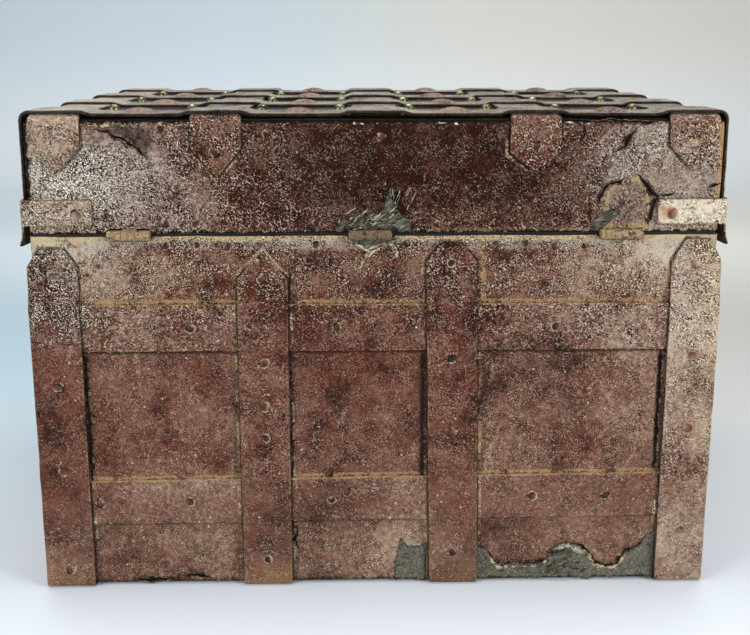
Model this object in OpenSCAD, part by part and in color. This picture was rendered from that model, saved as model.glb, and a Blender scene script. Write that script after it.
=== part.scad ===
// Iron-bound travelling chest with a deep, flat-topped lid.
// Pine boards, dovetailed at the corners, covered in leather and bound with iron straps.
// +X runs along the width, -Y is the hinge side, +Z is up.
// The origin is on the floor under the middle of the chest.

/* [Carcass] */
// Width of the body over its leather
chest_w = 692; // [600:1:860]
// Depth of the body over its leather
chest_d = 473; // [400:1:600]
// Height of the joint line between body and lid above the floor
joint_z = 381.5; // [340:0.5:460]
// Height of the lid's leather above the joint line
lid_h = 117.5; // [95:0.5:150]
// Thickness of the boards
board_t = 14; // [11:0.5:18]
// Thickness of the leather covering
leather_t = 1.6; // [1:0.1:2.5]
// Gap between the boards of body and lid
joint_gap = 0.6; // [0.4:0.1:1.2]
// How far the leather stops short of the boards' edges at the joint
hide_setback = 2.2; // [1:0.1:4]
// Width of the leather turned under the body
turn_under = 22; // [12:1:35]
// Radius of the upright corners over the leather
corner_r = 6; // [4:0.5:9]
// Radius of the lid's top edges over the leather
lid_r = 10; // [7:0.5:13]

/* [Dovetails] */
// Number of tails at each corner of the body
body_tails = 5; // [3:1:7]
// Number of tails at each corner of the lid
lid_tails = 2; // [1:1:3]
// Share of the corner's height that the tails' narrow roots take
tail_share = 0.5; // [0.35:0.05:0.6]
// Run of a tail's side to one unit of spread
tail_slope = 6; // [5:1:8]

/* [Straps] */
// Thickness of every iron strap and band
strap_t = 3; // [2:0.1:4]
// Width of the upright straps round the body
body_strap_w = 51; // [40:1:58]
// Distance of the left inner upright strap from the middle
inner_left = 115; // [95:1:135]
// Distance of the right inner upright strap from the middle
inner_right = 79; // [65:1:110]
// How far the outer upright straps pass the corner of the leather
strap_overhang = 4; // [0:0.5:6]
// Length of the slope where a strap steps over a band
step_run = 12; // [8:1:20]
// Distance from the joint line down to the front and end straps' tips
front_drop = 19.5; // [16:0.5:30]
// Width of the short straps on the ends of the body
end_strap_w = 48; // [36:1:56]
// Distance of the end straps from the middle of the depth
end_strap_y = 125; // [115:1:145]
// Height of the end straps' lower ends above the floor
end_strap_z = 9; // [6:0.5:14]

/* [Bands] */
// Width of the two bands that go round the body
band_w = 49; // [38:1:56]
// Distance from the joint line down to the upper band
upper_drop = 71.5; // [62:0.5:84]
// Height of the lower band above the floor
lower_rise = 73.5; // [60:0.5:90]

/* [Lid straps] */
// Width of the straps on the lid
lid_strap_w = 50; // [40:1:56]
// Distance from the lid's side to the outer cross straps
cross_inset = 6; // [5:0.5:12]
// Gap between the leather and the long straps on the lid's ends
end_stand = 1; // [0.5:0.1:1.5]
// Radius inside the long straps' bends at the lid's ends
long_r = 7; // [5:0.5:9]
// Height of the rim band
rim_w = 47; // [40:1:54]
// How far the rim band laps over the joint line
rim_lap = 11.5; // [8:0.5:14]
// Length of the rim band's tabs on the back of the lid
rim_tab = 71; // [55:1:85]
// Height of the back tabs' lower edge above the joint line
rim_tab_z = 9.5; // [7:0.5:12]

/* [Studs and nails] */
// Diameter of the low bosses on the long straps
boss_d = 34; // [26:1:40]
// Height of the bosses
boss_h = 4.5; // [3:0.5:6]
// Diameter of the brass studs
stud_d = 11; // [8:0.5:14]
// Height of the brass studs
stud_h = 4; // [3:0.5:6]
// Distance of the brass studs from the edge of a cross strap
stud_gap = 12; // [9:0.5:18]
// Diameter of the nail heads on straps and bands
nail_d = 8; // [6:0.5:10]
// Height of the nail heads on straps and bands
nail_h = 2; // [1.2:0.1:2.6]
// Diameter of the tack heads along the leather's edges
tack_d = 6.5; // [5:0.5:8]
// Height of the tack heads
tack_h = 1.6; // [1:0.1:2]
// Spacing of the tacks
tack_pitch = 30; // [22:1:45]
// Distance from the joint line to a row of tacks
tack_row = 11.5; // [9:0.5:14]

/* [Hinges] */
// Width of a hinge
hinge_w = 42; // [34:1:50]
// Height of a hinge's leaf
leaf_h = 46; // [36:1:54]
// Thickness of a hinge's leaf
leaf_t = 2; // [1.5:0.1:2.6]
// Radius of the knuckles
knuckle_r = 5.3; // [4.8:0.1:6]
// Radius of the hinge pins
pin_r = 2.4; // [2:0.1:3]
// Running clearance round pins
pin_fit = 0.06; // [0.02:0.01:0.1]
// Gap between neighbouring knuckles
knuckle_gap = 0.4; // [0.3:0.1:0.8]
// Gap between the knuckles and the boards
knuckle_stand = 0.2; // [0.1:0.1:0.6]
// Distance of the outer hinges from the chest's sides
hinge_inset = 100; // [85:1:120]
// Distance of the middle hinge to the left of the middle
hinge_mid = 6; // [0:1:12]
// Radius of the hinge rivets
rivet_r = 1.9; // [1.5:0.1:2.2]
// Height of a rivet's head on the inside
rivet_h = 1.2; // [0.8:0.1:2]

/* [Handles] */
// Distance from the upper band down to the bails' axis
handle_drop = 35; // [28:1:45]
// Distance of the bails' axis from the handle plate
handle_out = 14; // [12:0.5:18]
// Radius of the bail's bar
bail_r = 4.5; // [4:0.1:5.5]
// Largest radius of the grip
grip_r = 7; // [6:0.1:9]
// Distance from the bail's axis to the grip
bail_drop = 74; // [64:1:84]
// Distance between the middles of the bail's legs
bail_w = 132; // [120:1:150]
// Radius of the lower bends of the bail
bail_bend = 18; // [14:1:26]
// Thickness of the handle plate
plate_t = 2.5; // [2:0.1:3.5]
// Height of the handle plate
plate_h = 38; // [32:1:44]
// Length of the handle plate
plate_w = 176; // [168:1:190]
// Width of the plate's two lugs
lug_w = 10; // [8:0.5:12]
// Radius of the plate's two lugs
lug_r = 9; // [8:0.5:11]

/* [Lock] */
// Width of the lock case
case_w = 104; // [96:1:124]
// Height of the lock case
case_h = 60; // [56:1:70]
// Depth of the lock case
case_d = 18; // [17:0.5:24]
// Thickness of the lock case's walls
case_t = 2; // [1.5:0.1:2.4]
// Width of the lock case's side flanges
flange_w = 12; // [11:0.5:16]
// Distance from the joint line down to the keyhole
key_drop = 38; // [35:0.5:42]
// Thickness of the plate round the keyhole
shield_t = 2; // [1.5:0.1:2.6]
// Radius of the round part of the keyhole
key_r = 4.5; // [4:0.1:5]
// Travel of the lock bolt
bolt_travel = 12; // [10:0.5:13]
// Distance between the two loops of the link plate
loop_pitch = 36; // [34:0.5:40]
// Depth of the loops below the joint line
loop_drop = 20; // [18:0.5:22]
// Clearance round the lock's moving parts
lock_fit = 0.5; // [0.3:0.1:0.6]

/* [Hidden] */
$fn = 64;
// Facets of the large circles that only a short arc is used of
arc_facets = 360;

// Half width and half depth over the leather, and over the boards
hide_x = chest_w / 2;
hide_y = chest_d / 2;
wood_x = hide_x - leather_t;
wood_y = hide_y - leather_t;
wood_corner_r = corner_r - leather_t;
wood_lid_r = lid_r - leather_t;

// Levels, from the floor up
hide_z = strap_t;
deck_z = hide_z + leather_t;
wood_top = joint_z - joint_gap / 2;
hide_top = wood_top - hide_setback;
lid_wood_z = joint_z + joint_gap / 2;
lid_hide_z = lid_wood_z + hide_setback;
lid_top = joint_z + lid_h;
lid_wood_top = lid_top - leather_t;
lid_deck_z = lid_wood_top - board_t;
lid_strap_top = lid_top + strap_t;

// Upright straps: middles, tips below the joint, flats at the tips and slopes of the shoulders
outer_x = hide_x + strap_overhang - body_strap_w / 2;
body_strap_x = [-outer_x, -inner_left, inner_right, outer_x];
tip_drop = [13.5, 17.5, 8, 5];
tip_flat = [26, 3, 20, 24];
tip_rise = [18.5, 28, 19.5, 22];
front_tip_flat = 20;
front_tip_rise = 20;
end_tip_flat = 16;
end_tip_rise = 18;
// Distance of the end straps' nails from the shoulders and from the lower ends
end_nail_drop = 6;
end_nail_rise = 20;
// Outside radius of the straps' bends under the body, so that the inside clears the leather
foot_r = 2 * strap_t;
// How far the steps clear the bands' edges, and how far the parts of a strap's outline lap
step_lap = 3;
outline_lap = 2;

// Bands
upper_z = joint_z - upper_drop - band_w;
lower_z = lower_rise;
band_out_y = hide_y + strap_t;
band_out_x = hide_x + strap_t;
// A strap steps down to the leather above the upper band and below the lower one
step_z = upper_z + band_w + step_lap;
seat_z = step_z + step_run;
low_step_z = lower_z - step_lap;

// Lid straps
cross_x = [for (k = [-2:2]) k / 2 * (hide_x - cross_inset - lid_strap_w / 2)];
long_y_out = hide_y - lid_strap_w / 2 - (corner_r - strap_t);
long_y = [for (k = [0:3]) -long_y_out + k * 2 / 3 * long_y_out];
// Length of each cross strap's tab on the back, its flat tip and its shoulders' slope
tab_drop = [54.5, 61, 0, 56, 56];
tab_flat = [10, 3, 3, 4, 3];
tab_rise = [21, 27, 0, 17, 24];
tab_nail_rise = [15, 23, 0, 24, 25];
step_facets = 5;

// Hinge axis, proud of the leather on the back
axis_y = -(wood_y + knuckle_stand + knuckle_r);
hinge_x = [-(hide_x - hinge_inset), -hinge_mid, hide_x - hinge_inset];
leaf_z = knuckle_r + 1.2;
knuckle_w = hinge_w / 3;
// Rivets of a leaf: places across the hinge and heights from the joint line
rivet_head_r = 4.5;
rivet_in = 2 * rivet_head_r;
rivet_spots = [[rivet_in - hinge_w / 2, leaf_z + leaf_h - rivet_in],
               [hinge_w / 2 - rivet_in, leaf_z + leaf_h - rivet_in],
               [0, leaf_z + leaf_h * 0.3]];
// Metal left between a pin and its leaf's neck, rise of the neck's root and reach of a pin's end
neck_wall = 0.8;
neck_root = 2;
pin_reach = 0.6;

// Handles
bail_axis_x = hide_x + plate_t + handle_out;
bail_axis_z = upper_z - handle_drop;
bail_leg_y = bail_w / 2;
bail_gap = 1.2;
upper_bend = bail_r + bail_gap;
lug_y = bail_leg_y - upper_bend - lug_w / 2;
// Peened ends of the bail's stubs, inside the lugs
peen_h = 2.6;
peen_out = 1.8;
peen_gap = 0.6;
stub_in = lug_y - lug_w / 2 - peen_h - peen_gap;
handle_rivet_y = plate_w / 2 - 9;
handle_rivet_r = 2.4;
handle_head_r = 5;
handle_head_h = 2.4;

// Lock
front_in = wood_y - board_t;
case_top = wood_top - 1;
case_z = case_top - case_h;
key_z = joint_z - key_drop;
key_slot_w = 4.4;
key_slot_h = 13;
// Loops of the link plate, their eyes and the bolt's fingers
loop_t = 4;
loop_w = 12;
loop_eye_w = 7;
loop_eye_h = 9;
loop_y = front_in - case_d / 2;
loop_foot = 2.5;
eye_z = joint_z - loop_drop + loop_foot;
finger_h = loop_eye_h - 2 * lock_fit;
finger_y = loop_eye_w - 2 * lock_fit;
finger_l = 15;
finger_gap = 4 * lock_fit;
root_gap = 1;
finger_root = finger_l + finger_gap - bolt_travel - root_gap;
// Bar of the bolt, below the loops, and the rails that it slides on
bar_h = 7;
bar_drop = 2;
bar_end = 4;
bar_z = joint_z - loop_drop - bar_drop - bar_h;
notch_x = -4;
notch_r = 2.6;
rail_w = 12;
rail_gap = 0.3;
// Angle plate in the lid
link_t = 2;
link_w = 84;
link_leg = 30;
// Nails of the lock case: diameter, height and distance from the case's lower and upper edges
lock_nail_d = 8;
lock_nail_h = 1.8;
lock_nail_z = [case_z + 10, case_z + case_h - 12];
// Shield round the keyhole: half width, top, corner cuts, and where its point narrows and ends
shield_x = 19;
shield_rise = 18;
shield_cut_r = 7;
shield_fall = [6, 24, 33];
shield_neck = 10;

// Radius of a dome from its diameter and height
function dome_r(d, h) = (d * d / 4 + h * h) / (2 * h);

// Rounded rectangle round the origin
module plan(w, d, r) {
    square([w - 2 * r, d], center = true);
    square([w, d - 2 * r], center = true);
    for (sx = [-1, 1], sy = [-1, 1])
        translate([sx * (w / 2 - r), sy * (d / 2 - r)]) circle(r);
}

// Outline that stands on its base line, with its two top corners rounded
module arch(w, h, r) {
    translate([-w / 2, 0]) square([w, h - r]);
    translate([-w / 2 + r, 0]) square([w - 2 * r, h]);
    for (sx = [-1, 1]) translate([sx * (w / 2 - r), h - r]) circle(r);
}

// Extrudes an outline drawn in X and Z along Y, between two values of Y
module along_y(y0, y1) {
    translate([0, y1, 0]) rotate([90, 0, 0]) linear_extrude(y1 - y0) children();
}

// Extrudes an outline drawn in Y and Z along X, between two values of X
module along_x(x0, x1) {
    translate([x0, 0, 0]) rotate([90, 0, 90]) linear_extrude(x1 - x0) children();
}

// Upright block with rounded corners
module upright(x, y, r, z0, z1) {
    translate([0, 0, z0]) linear_extrude(z1 - z0) plan(2 * x, 2 * y, r);
}

// Lid-shaped block: rounded upright corners and rounded top edges
module lid_block(x, y, z0, z1, r_side, r_top) {
    intersection() {
        upright(x, y, r_side, z0, z1);
        translate([0, 0, z0]) along_y(-y, y) arch(2 * x, z1 - z0, r_top);
        translate([0, 0, z0]) along_x(-x, x) arch(2 * y, z1 - z0, r_top);
    }
}

// Low dome, standing on the origin
module dome(d, h) {
    rotate_extrude() intersection() {
        translate([0, h - dome_r(d, h)]) circle(dome_r(d, h), $fn = arc_facets);
        square([d, h]);
    }
}

// Places children on the back, front, left or right, facing outwards
module on_back(x, y, z) { translate([x, -y, z]) rotate([90, 0, 0]) children(); }
module on_front(x, y, z) { translate([x, y, z]) rotate([-90, 0, 0]) children(); }
module on_side(s, x, y, z) { translate([s * x, y, z]) rotate([0, s * 90, 0]) children(); }

// Tip of a strap: a bar with two cut shoulders and a flat end at z1, drawn in X and Z
module tip(w, z0, z1, flat, rise) {
    polygon([[-w / 2, z0], [w / 2, z0], [w / 2, z1 - rise], [flat / 2, z1],
             [-flat / 2, z1], [-w / 2, z1 - rise]]);
}

// The tails of one corner, on the side s, through the boards of the front and back
module tails(s, x, y, t, z0, z1, n) {
    pitch = (z1 - z0) / n;
    root = pitch * tail_share / 2;
    spread = t / tail_slope;
    for (k = [0:n - 1])
        along_y(-y, y) translate([0, z0 + (k + 0.5) * pitch])
            polygon([[s * (x - t), -root], [s * x, -root - spread],
                     [s * x, root + spread], [s * (x - t), root]]);
}

// A long board of the front or back, from y0 to y1, with its tails on both ends
module tail_board(y0, y1, z0, z1, n) {
    intersection() {
        union() {
            translate([-(wood_x - board_t), y0, z0])
                cube([2 * (wood_x - board_t), y1 - y0, z1 - z0]);
            for (s = [-1, 1]) tails(s, wood_x, wood_y, board_t, z0, z1, n);
        }
        upright(wood_x, wood_y, wood_corner_r, z0, z1);
        translate([-wood_x, y0, z0]) cube([2 * wood_x, y1 - y0, z1 - z0]);
    }
}

// An end board on the side s, with the sockets that take the tails
module pin_board(s, z0, z1, n) {
    difference() {
        intersection() {
            upright(wood_x, wood_y, wood_corner_r, z0, z1);
            translate([s * (wood_x - board_t / 2), 0, (z0 + z1) / 2])
                cube([board_t, 2 * wood_y, z1 - z0], center = true);
        }
        for (f = [-1, 1])
            intersection() {
                tails(s, wood_x, wood_y, board_t, z0, z1, n);
                translate([0, f * (wood_y - board_t / 2), 0])
                    cube([3 * wood_x, board_t, 3 * z1], center = true);
            }
    }
}

// Rivet holes of the three hinges through leaf and board; up is 1 for the lid, -1 for the body
module hinge_holes(up, r) {
    for (x = hinge_x, spot = rivet_spots)
        translate([x + spot[0], -wood_y - 1, joint_z + up * spot[1]])
            rotate([-90, 0, 0]) cylinder(r = r, h = board_t + 2);
}

// Shallow pockets in the back boards for the hinges' leaves
module leaf_pockets(up) {
    for (x = hinge_x)
        translate([x - hinge_w / 2, -wood_y - 1, up > 0 ? joint_z : joint_z - leaf_z - leaf_h])
            cube([hinge_w, leaf_t + 1, leaf_z + leaf_h]);
}

// Windows in the leather for the hinges' knuckles
module knuckle_windows() {
    for (x = hinge_x)
        translate([x - hinge_w / 2 - 1, -hide_y - 1, joint_z - leaf_z])
            cube([hinge_w + 2, leather_t + 2, 2 * leaf_z]);
}

// Keyhole along Y, from y0 to y1
module keyhole(y0, y1) {
    along_y(y0, y1) translate([0, key_z]) {
        circle(key_r);
        translate([-key_slot_w / 2, -key_slot_h]) square([key_slot_w, key_slot_h]);
    }
}

// Rivet holes of a handle plate on the side s
module handle_holes(s, r) {
    for (sy = [-1, 1])
        translate([s * (wood_x - board_t - 1), sy * handle_rivet_y, bail_axis_z])
            rotate([0, s * 90, 0])
                cylinder(r = r, h = board_t + leather_t + plate_t + 2);
}

module bottom_board() {
    color("burlywood")
        translate([-(wood_x - board_t), -(wood_y - board_t), deck_z])
            cube([2 * (wood_x - board_t), 2 * (wood_y - board_t), board_t]);
}

module back_board() {
    color("tan") difference() {
        tail_board(-wood_y, -wood_y + board_t, deck_z, wood_top, body_tails);
        leaf_pockets(-1);
        hinge_holes(-1, rivet_r);
    }
}

module front_board() {
    color("tan") difference() {
        tail_board(wood_y - board_t, wood_y, deck_z, wood_top, body_tails);
        keyhole(wood_y - board_t - 1, wood_y + 1);
    }
}

module side_board(s) {
    color("peru") difference() {
        pin_board(s, deck_z, wood_top, body_tails);
        handle_holes(s, handle_rivet_r);
    }
}

module body_leather() {
    color([0.32, 0.12, 0.1]) difference() {
        upright(hide_x, hide_y, corner_r, hide_z, hide_top);
        upright(wood_x, wood_y, wood_corner_r, deck_z, hide_top + 1);
        upright(hide_x - turn_under, hide_y - turn_under, corner_r, hide_z - 1, deck_z + 1);
        knuckle_windows();
        keyhole(wood_y - 1, hide_y + 1);
        for (s = [-1, 1]) handle_holes(s, handle_rivet_r);
    }
}

module girth_band(z0) {
    color([0.28, 0.1, 0.08]) difference() {
        upright(band_out_x, band_out_y, corner_r + strap_t, z0, z0 + band_w);
        upright(hide_x, hide_y, corner_r, z0 - 1, z0 + band_w + 1);
    }
}

// Side view of an upright strap: down the back, under the body and up the front
module strap_path(top) {
    out = hide_y + 2 * strap_t;
    mid = hide_y + strap_t;
    cradle_h = step_z - outline_lap;
    difference() {
        translate([0, cradle_h]) mirror([0, 1]) arch(2 * out, cradle_h, foot_r);
        translate([0, cradle_h + 1]) mirror([0, 1])
            arch(2 * mid, cradle_h + 1 - strap_t, foot_r - strap_t);
    }
    front = [[mid, cradle_h - outline_lap], [out, cradle_h - outline_lap], [out, step_z],
             [mid, seat_z], [mid, top], [hide_y, top], [hide_y, seat_z], [mid, step_z]];
    polygon(front);
    polygon([for (i = [len(front) - 1:-1:0]) [-front[i][0], front[i][1]]]);
}

module body_strap(k) {
    back_tip = joint_z - tip_drop[k];
    front_tip = joint_z - front_drop;
    top = max(back_tip, front_tip);
    color([0.26, 0.09, 0.08]) translate([body_strap_x[k], 0, 0]) intersection() {
        along_x(-body_strap_w / 2, body_strap_w / 2) strap_path(top);
        union() {
            along_y(-2 * hide_y, 1) tip(body_strap_w, -1, back_tip, tip_flat[k], tip_rise[k]);
            along_y(-1, 2 * hide_y) tip(body_strap_w, -1, front_tip, front_tip_flat, front_tip_rise);
        }
    }
}

// Side view of an end strap, drawn in X and Z for the right end
module end_strap_path(top) {
    x0 = hide_x;
    x1 = hide_x + strap_t;
    x2 = x1 + strap_t;
    polygon([[x0, end_strap_z], [x1, end_strap_z], [x1, low_step_z - step_run], [x2, low_step_z],
             [x2, step_z], [x1, seat_z], [x1, top], [x0, top], [x0, seat_z], [x1, step_z],
             [x1, low_step_z], [x0, low_step_z - step_run]]);
}

module end_straps(s) {
    top = joint_z - front_drop;
    color([0.26, 0.09, 0.08]) mirror([s < 0 ? 1 : 0, 0, 0])
        for (sy = [-1, 1]) intersection() {
            along_y(sy * end_strap_y - end_strap_w / 2, sy * end_strap_y + end_strap_w / 2)
                end_strap_path(top);
            translate([0, sy * end_strap_y, 0])
                along_x(0, 2 * hide_x) tip(end_strap_w, -1, top, end_tip_flat, end_tip_rise);
        }
}

// Heights of the nails on an upright strap, as shares of its tip's height
back_nail_share = [[0.925, 0.61, 0.36, 0.06], [0.925, 0.685, 0.555, 0.46, 0.085],
                   [0.943, 0.675, 0.46, 0.1], [0.928, 0.675, 0.467, 0.16]];
front_nail_share = [0.93, 0.62, 0.4, 0.08];

function strap_face(z) = z > seat_z ? hide_y + strap_t : hide_y + 2 * strap_t;

module body_strap_nails() {
    color([0.36, 0.22, 0.16]) {
        for (k = [0:3]) {
            for (share = back_nail_share[k]) {
                z = share * (joint_z - tip_drop[k]);
                on_back(body_strap_x[k], strap_face(z), z) dome(nail_d, nail_h);
            }
            for (share = front_nail_share) {
                z = share * (joint_z - front_drop);
                on_front(body_strap_x[k], strap_face(z), z) dome(nail_d, nail_h);
            }
        }
        for (s = [-1, 1], sy = [-1, 1]) {
            for (z = [joint_z - front_drop - end_tip_rise - end_nail_drop, end_strap_z + end_nail_rise])
                on_side(s, band_out_x, sy * end_strap_y, z) dome(nail_d, nail_h);
            for (z = [upper_z, lower_z])
                on_side(s, band_out_x + strap_t, sy * end_strap_y, z + band_w / 2)
                    dome(nail_d, nail_h);
        }
    }
}

// Nails of the bands: the bay between two upright straps, and the share of its width
upper_nails = [[0, 0.71], [1, 0.34], [2, 0.4], [2, 0.9]];
lower_nails = [[0, 0.03], [0, 0.66], [1, 0.28], [2, 0.3], [2, 0.72]];
front_nails = [[0, 0.5], [1, 0.5], [2, 0.5]];
// Least distance of such a nail from the middle of a strap
nail_edge = body_strap_w / 2 + nail_d / 2 + 1.5;
function bay_x(p) = (body_strap_x[p[0]] + nail_edge) * (1 - p[1])
    + (body_strap_x[p[0] + 1] - nail_edge) * p[1];
end_nail_out = (end_strap_y + end_strap_w / 2 + hide_y - corner_r) / 2;
end_nail_y = [-end_nail_out, 0, end_nail_out];

module band_nails() {
    color([0.36, 0.22, 0.16]) {
        for (p = upper_nails)
            on_back(bay_x(p), band_out_y, upper_z + band_w / 2) dome(nail_d, nail_h);
        for (p = lower_nails)
            on_back(bay_x(p), band_out_y, lower_z + band_w / 2) dome(nail_d, nail_h);
        for (z = [upper_z, lower_z]) {
            for (p = front_nails)
                on_front(bay_x(p), band_out_y, z + band_w / 2) dome(nail_d, nail_h);
            for (s = [-1, 1], y = end_nail_y)
                on_side(s, band_out_x, y, z + band_w / 2) dome(nail_d, nail_h);
        }
    }
}

// How far the tacks of a row wander up and down
body_wander = 1.8;
lid_wander = 1.2;

// True where a tack at x stays clear of all the straps or hinges with these middles
function clear_of(x, middles, half) = min([for (m = middles) abs(x - m)]) > half + tack_d / 2 + 1;

module body_tacks() {
    z = joint_z - tack_row;
    nx = floor((hide_x - corner_r - tack_d) / tack_pitch);
    ny = floor((hide_y - corner_r - tack_d) / tack_pitch);
    color([0.4, 0.24, 0.14]) for (k = [-nx:nx]) {
        x = k * tack_pitch;
        if (clear_of(x, body_strap_x, body_strap_w / 2) && clear_of(x, hinge_x, hinge_w / 2))
            on_back(x, hide_y, z + body_wander * sin(97 * k)) dome(tack_d, tack_h);
        on_front(x, hide_y, z) dome(tack_d, tack_h);
        if (abs(k) <= ny)
            for (s = [-1, 1]) on_side(s, hide_x, x, z) dome(tack_d, tack_h);
    }
}

// Profile of a leaf in Y and Z: knuckle, neck and plate; up is 1 for the lid, -1 for the body
module leaf(x, up) {
    plate_y = -wood_y;
    first = up > 0 ? [-knuckle_w / 2] : [-hinge_w / 2, knuckle_w / 2];
    translate([x, 0, joint_z]) difference() {
        union() {
            translate([-hinge_w / 2, plate_y, up > 0 ? leaf_z : -leaf_z - leaf_h])
                cube([hinge_w, leaf_t, leaf_h]);
            for (x0 = first) {
                g0 = x0 > -hinge_w / 2 ? knuckle_gap / 2 : 0;
                g1 = x0 + knuckle_w < hinge_w / 2 - 0.01 ? knuckle_gap / 2 : 0;
                translate([x0 + g0, axis_y, 0]) rotate([0, 90, 0])
                    cylinder(r = knuckle_r, h = knuckle_w - g0 - g1);
                along_x(x0 + g0, x0 + knuckle_w - g1)
                    polygon([[axis_y, up * (pin_r + neck_wall)],
                             [plate_y + leaf_t, up * (leaf_z - neck_root)],
                             [plate_y + leaf_t, up * (leaf_z + 1)], [plate_y, up * (leaf_z + 1)],
                             [plate_y, up * leaf_z], [axis_y, up * knuckle_r]]);
            }
        }
        translate([-hinge_w, axis_y, 0]) rotate([0, 90, 0])
            cylinder(r = pin_r + pin_fit, h = 2 * hinge_w);
        for (spot = rivet_spots)
            translate([spot[0], -wood_y - 1, up * spot[1]]) rotate([-90, 0, 0])
                cylinder(r = rivet_r, h = leaf_t + 2);
    }
}

module hinge_pins() {
    color([0.3, 0.24, 0.2]) for (x = hinge_x)
        translate([x - hinge_w / 2 - pin_reach, axis_y, joint_z]) rotate([0, 90, 0])
            cylinder(r = pin_r, h = hinge_w + 2 * pin_reach);
}

// Rivets through leaf and board, with a low head on the inside of the chest
module hinge_rivets(up) {
    color([0.35, 0.3, 0.26]) for (x = hinge_x, spot = rivet_spots)
        translate([x + spot[0], -wood_y, joint_z + up * spot[1]]) rotate([-90, 0, 0]) {
            cylinder(r = rivet_r, h = board_t);
            translate([0, 0, board_t]) dome(2 * rivet_head_r, rivet_h);
        }
}

// Handle plate on the side s: a strip with round ends and two bored lugs
module handle_plate(s) {
    color([0.2, 0.16, 0.14]) mirror([s < 0 ? 1 : 0, 0, 0]) difference() {
        union() {
            translate([0, 0, bail_axis_z]) along_x(hide_x, hide_x + plate_t)
                plan(plate_w, plate_h, plate_h / 2 - 0.5);
            for (sy = [-1, 1]) translate([0, sy * lug_y, bail_axis_z]) {
                translate([bail_axis_x, lug_w / 2, 0]) rotate([90, 0, 0])
                    cylinder(r = lug_r, h = lug_w);
                translate([hide_x + plate_t / 2, -lug_w / 2, -lug_r])
                    cube([bail_axis_x - hide_x - plate_t / 2, lug_w, 2 * lug_r]);
            }
        }
        translate([bail_axis_x, plate_w, bail_axis_z]) rotate([90, 0, 0])
            cylinder(r = bail_r + pin_fit, h = 2 * plate_w);
        handle_holes(1, handle_rivet_r);
    }
}

module handle_rivets() {
    color([0.24, 0.19, 0.16]) for (s = [-1, 1], sy = [-1, 1])
        translate([s * (wood_x - board_t), sy * handle_rivet_y, bail_axis_z])
            rotate([0, s * 90, 0]) {
                cylinder(r = handle_rivet_r, h = board_t + leather_t + plate_t);
                translate([0, 0, board_t + leather_t + plate_t])
                    dome(2 * handle_head_r, handle_head_h);
                mirror([0, 0, 1]) dome(2 * handle_head_r, rivet_h);
            }
}

// Quarter of a ring of round bar, in the plane of Y and Z
module bend(r, turn) {
    rotate([0, 90, 0]) rotate([0, 0, turn]) rotate_extrude(angle = 90)
        translate([r, 0]) circle(bail_r);
}

// A bail that hangs from its axis: two stubs with peened ends, two legs and a swelled grip
module bail(s) {
    grip_l = bail_w - 2 * bail_bend;
    swell = grip_r - bail_r;
    arc_r = dome_r(grip_l, swell);
    color([0.17, 0.14, 0.12]) translate([s * bail_axis_x, 0, bail_axis_z]) {
        for (m = [0, 1]) mirror([0, m, 0]) {
            translate([0, stub_in, 0]) rotate([-90, 0, 0])
                cylinder(r = bail_r, h = bail_leg_y - upper_bend - stub_in);
            translate([0, stub_in, 0]) rotate([-90, 0, 0])
                cylinder(r = bail_r + peen_out, h = peen_h);
            translate([0, bail_leg_y - upper_bend, -upper_bend]) bend(upper_bend, 90);
            translate([0, bail_leg_y, -bail_drop + bail_bend])
                cylinder(r = bail_r, h = bail_drop - bail_bend - upper_bend);
            translate([0, bail_leg_y - bail_bend, -bail_drop + bail_bend]) bend(bail_bend, 0);
        }
        translate([0, 0, -bail_drop]) rotate([90, 0, 0]) rotate_extrude() intersection() {
            translate([grip_r - arc_r, 0]) circle(arc_r, $fn = arc_facets);
            translate([0, -grip_l / 2]) square([grip_r, grip_l]);
        }
    }
}

// Lock case on the inside of the front board, open towards the board
module lock_case() {
    color([0.3, 0.27, 0.24]) difference() {
        union() {
            translate([-case_w / 2, front_in - case_d, case_z]) cube([case_w, case_d, case_h]);
            translate([-case_w / 2 - flange_w, front_in - case_t, case_z])
                cube([case_w + 2 * flange_w, case_t, case_h]);
        }
        difference() {
            translate([-case_w / 2 + case_t, front_in - case_d + case_t, case_z + case_t])
                cube([case_w - 2 * case_t, case_d, case_h - 2 * case_t]);
            bolt_rail();
        }
        for (s = [-1, 1])
            translate([s * loop_pitch / 2 - loop_t / 2 - 2 * lock_fit, loop_y - loop_w / 2 - 2 * lock_fit,
                       case_z + case_h / 2])
                cube([loop_t + 4 * lock_fit, loop_w + 4 * lock_fit, case_h]);
    }
}

// Rail inside the case that the bolt slides on
module bolt_rail() {
    for (s = [-1, 1])
        translate([s * case_w / 4 - rail_w / 2, front_in - case_d, bar_z - rail_gap - case_t])
            cube([rail_w, case_d - lock_fit, case_t]);
}

module lock_nails() {
    color([0.35, 0.3, 0.26]) for (s = [-1, 1], z = lock_nail_z)
        on_back(s * (case_w + flange_w) / 2, -(front_in - case_t), z) dome(lock_nail_d, lock_nail_h);
}

// Shield-shaped plate round the keyhole
module escutcheon() {
    color([0.2, 0.16, 0.13]) difference() {
        along_y(hide_y, hide_y + shield_t) translate([0, key_z])
            polygon([[-shield_x, shield_rise], [shield_x, shield_rise],
                     [shield_x, -shield_fall[0]], [shield_neck, -shield_fall[1]],
                     [0, -shield_fall[2]], [-shield_neck, -shield_fall[1]],
                     [-shield_x, -shield_fall[0]]]);
        keyhole(hide_y - 1, hide_y + shield_t + 1);
        for (sx = [-1, 1])
            along_y(hide_y - 1, hide_y + shield_t + 1)
                translate([sx * shield_x, key_z + shield_rise]) circle(shield_cut_r);
    }
}

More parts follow.
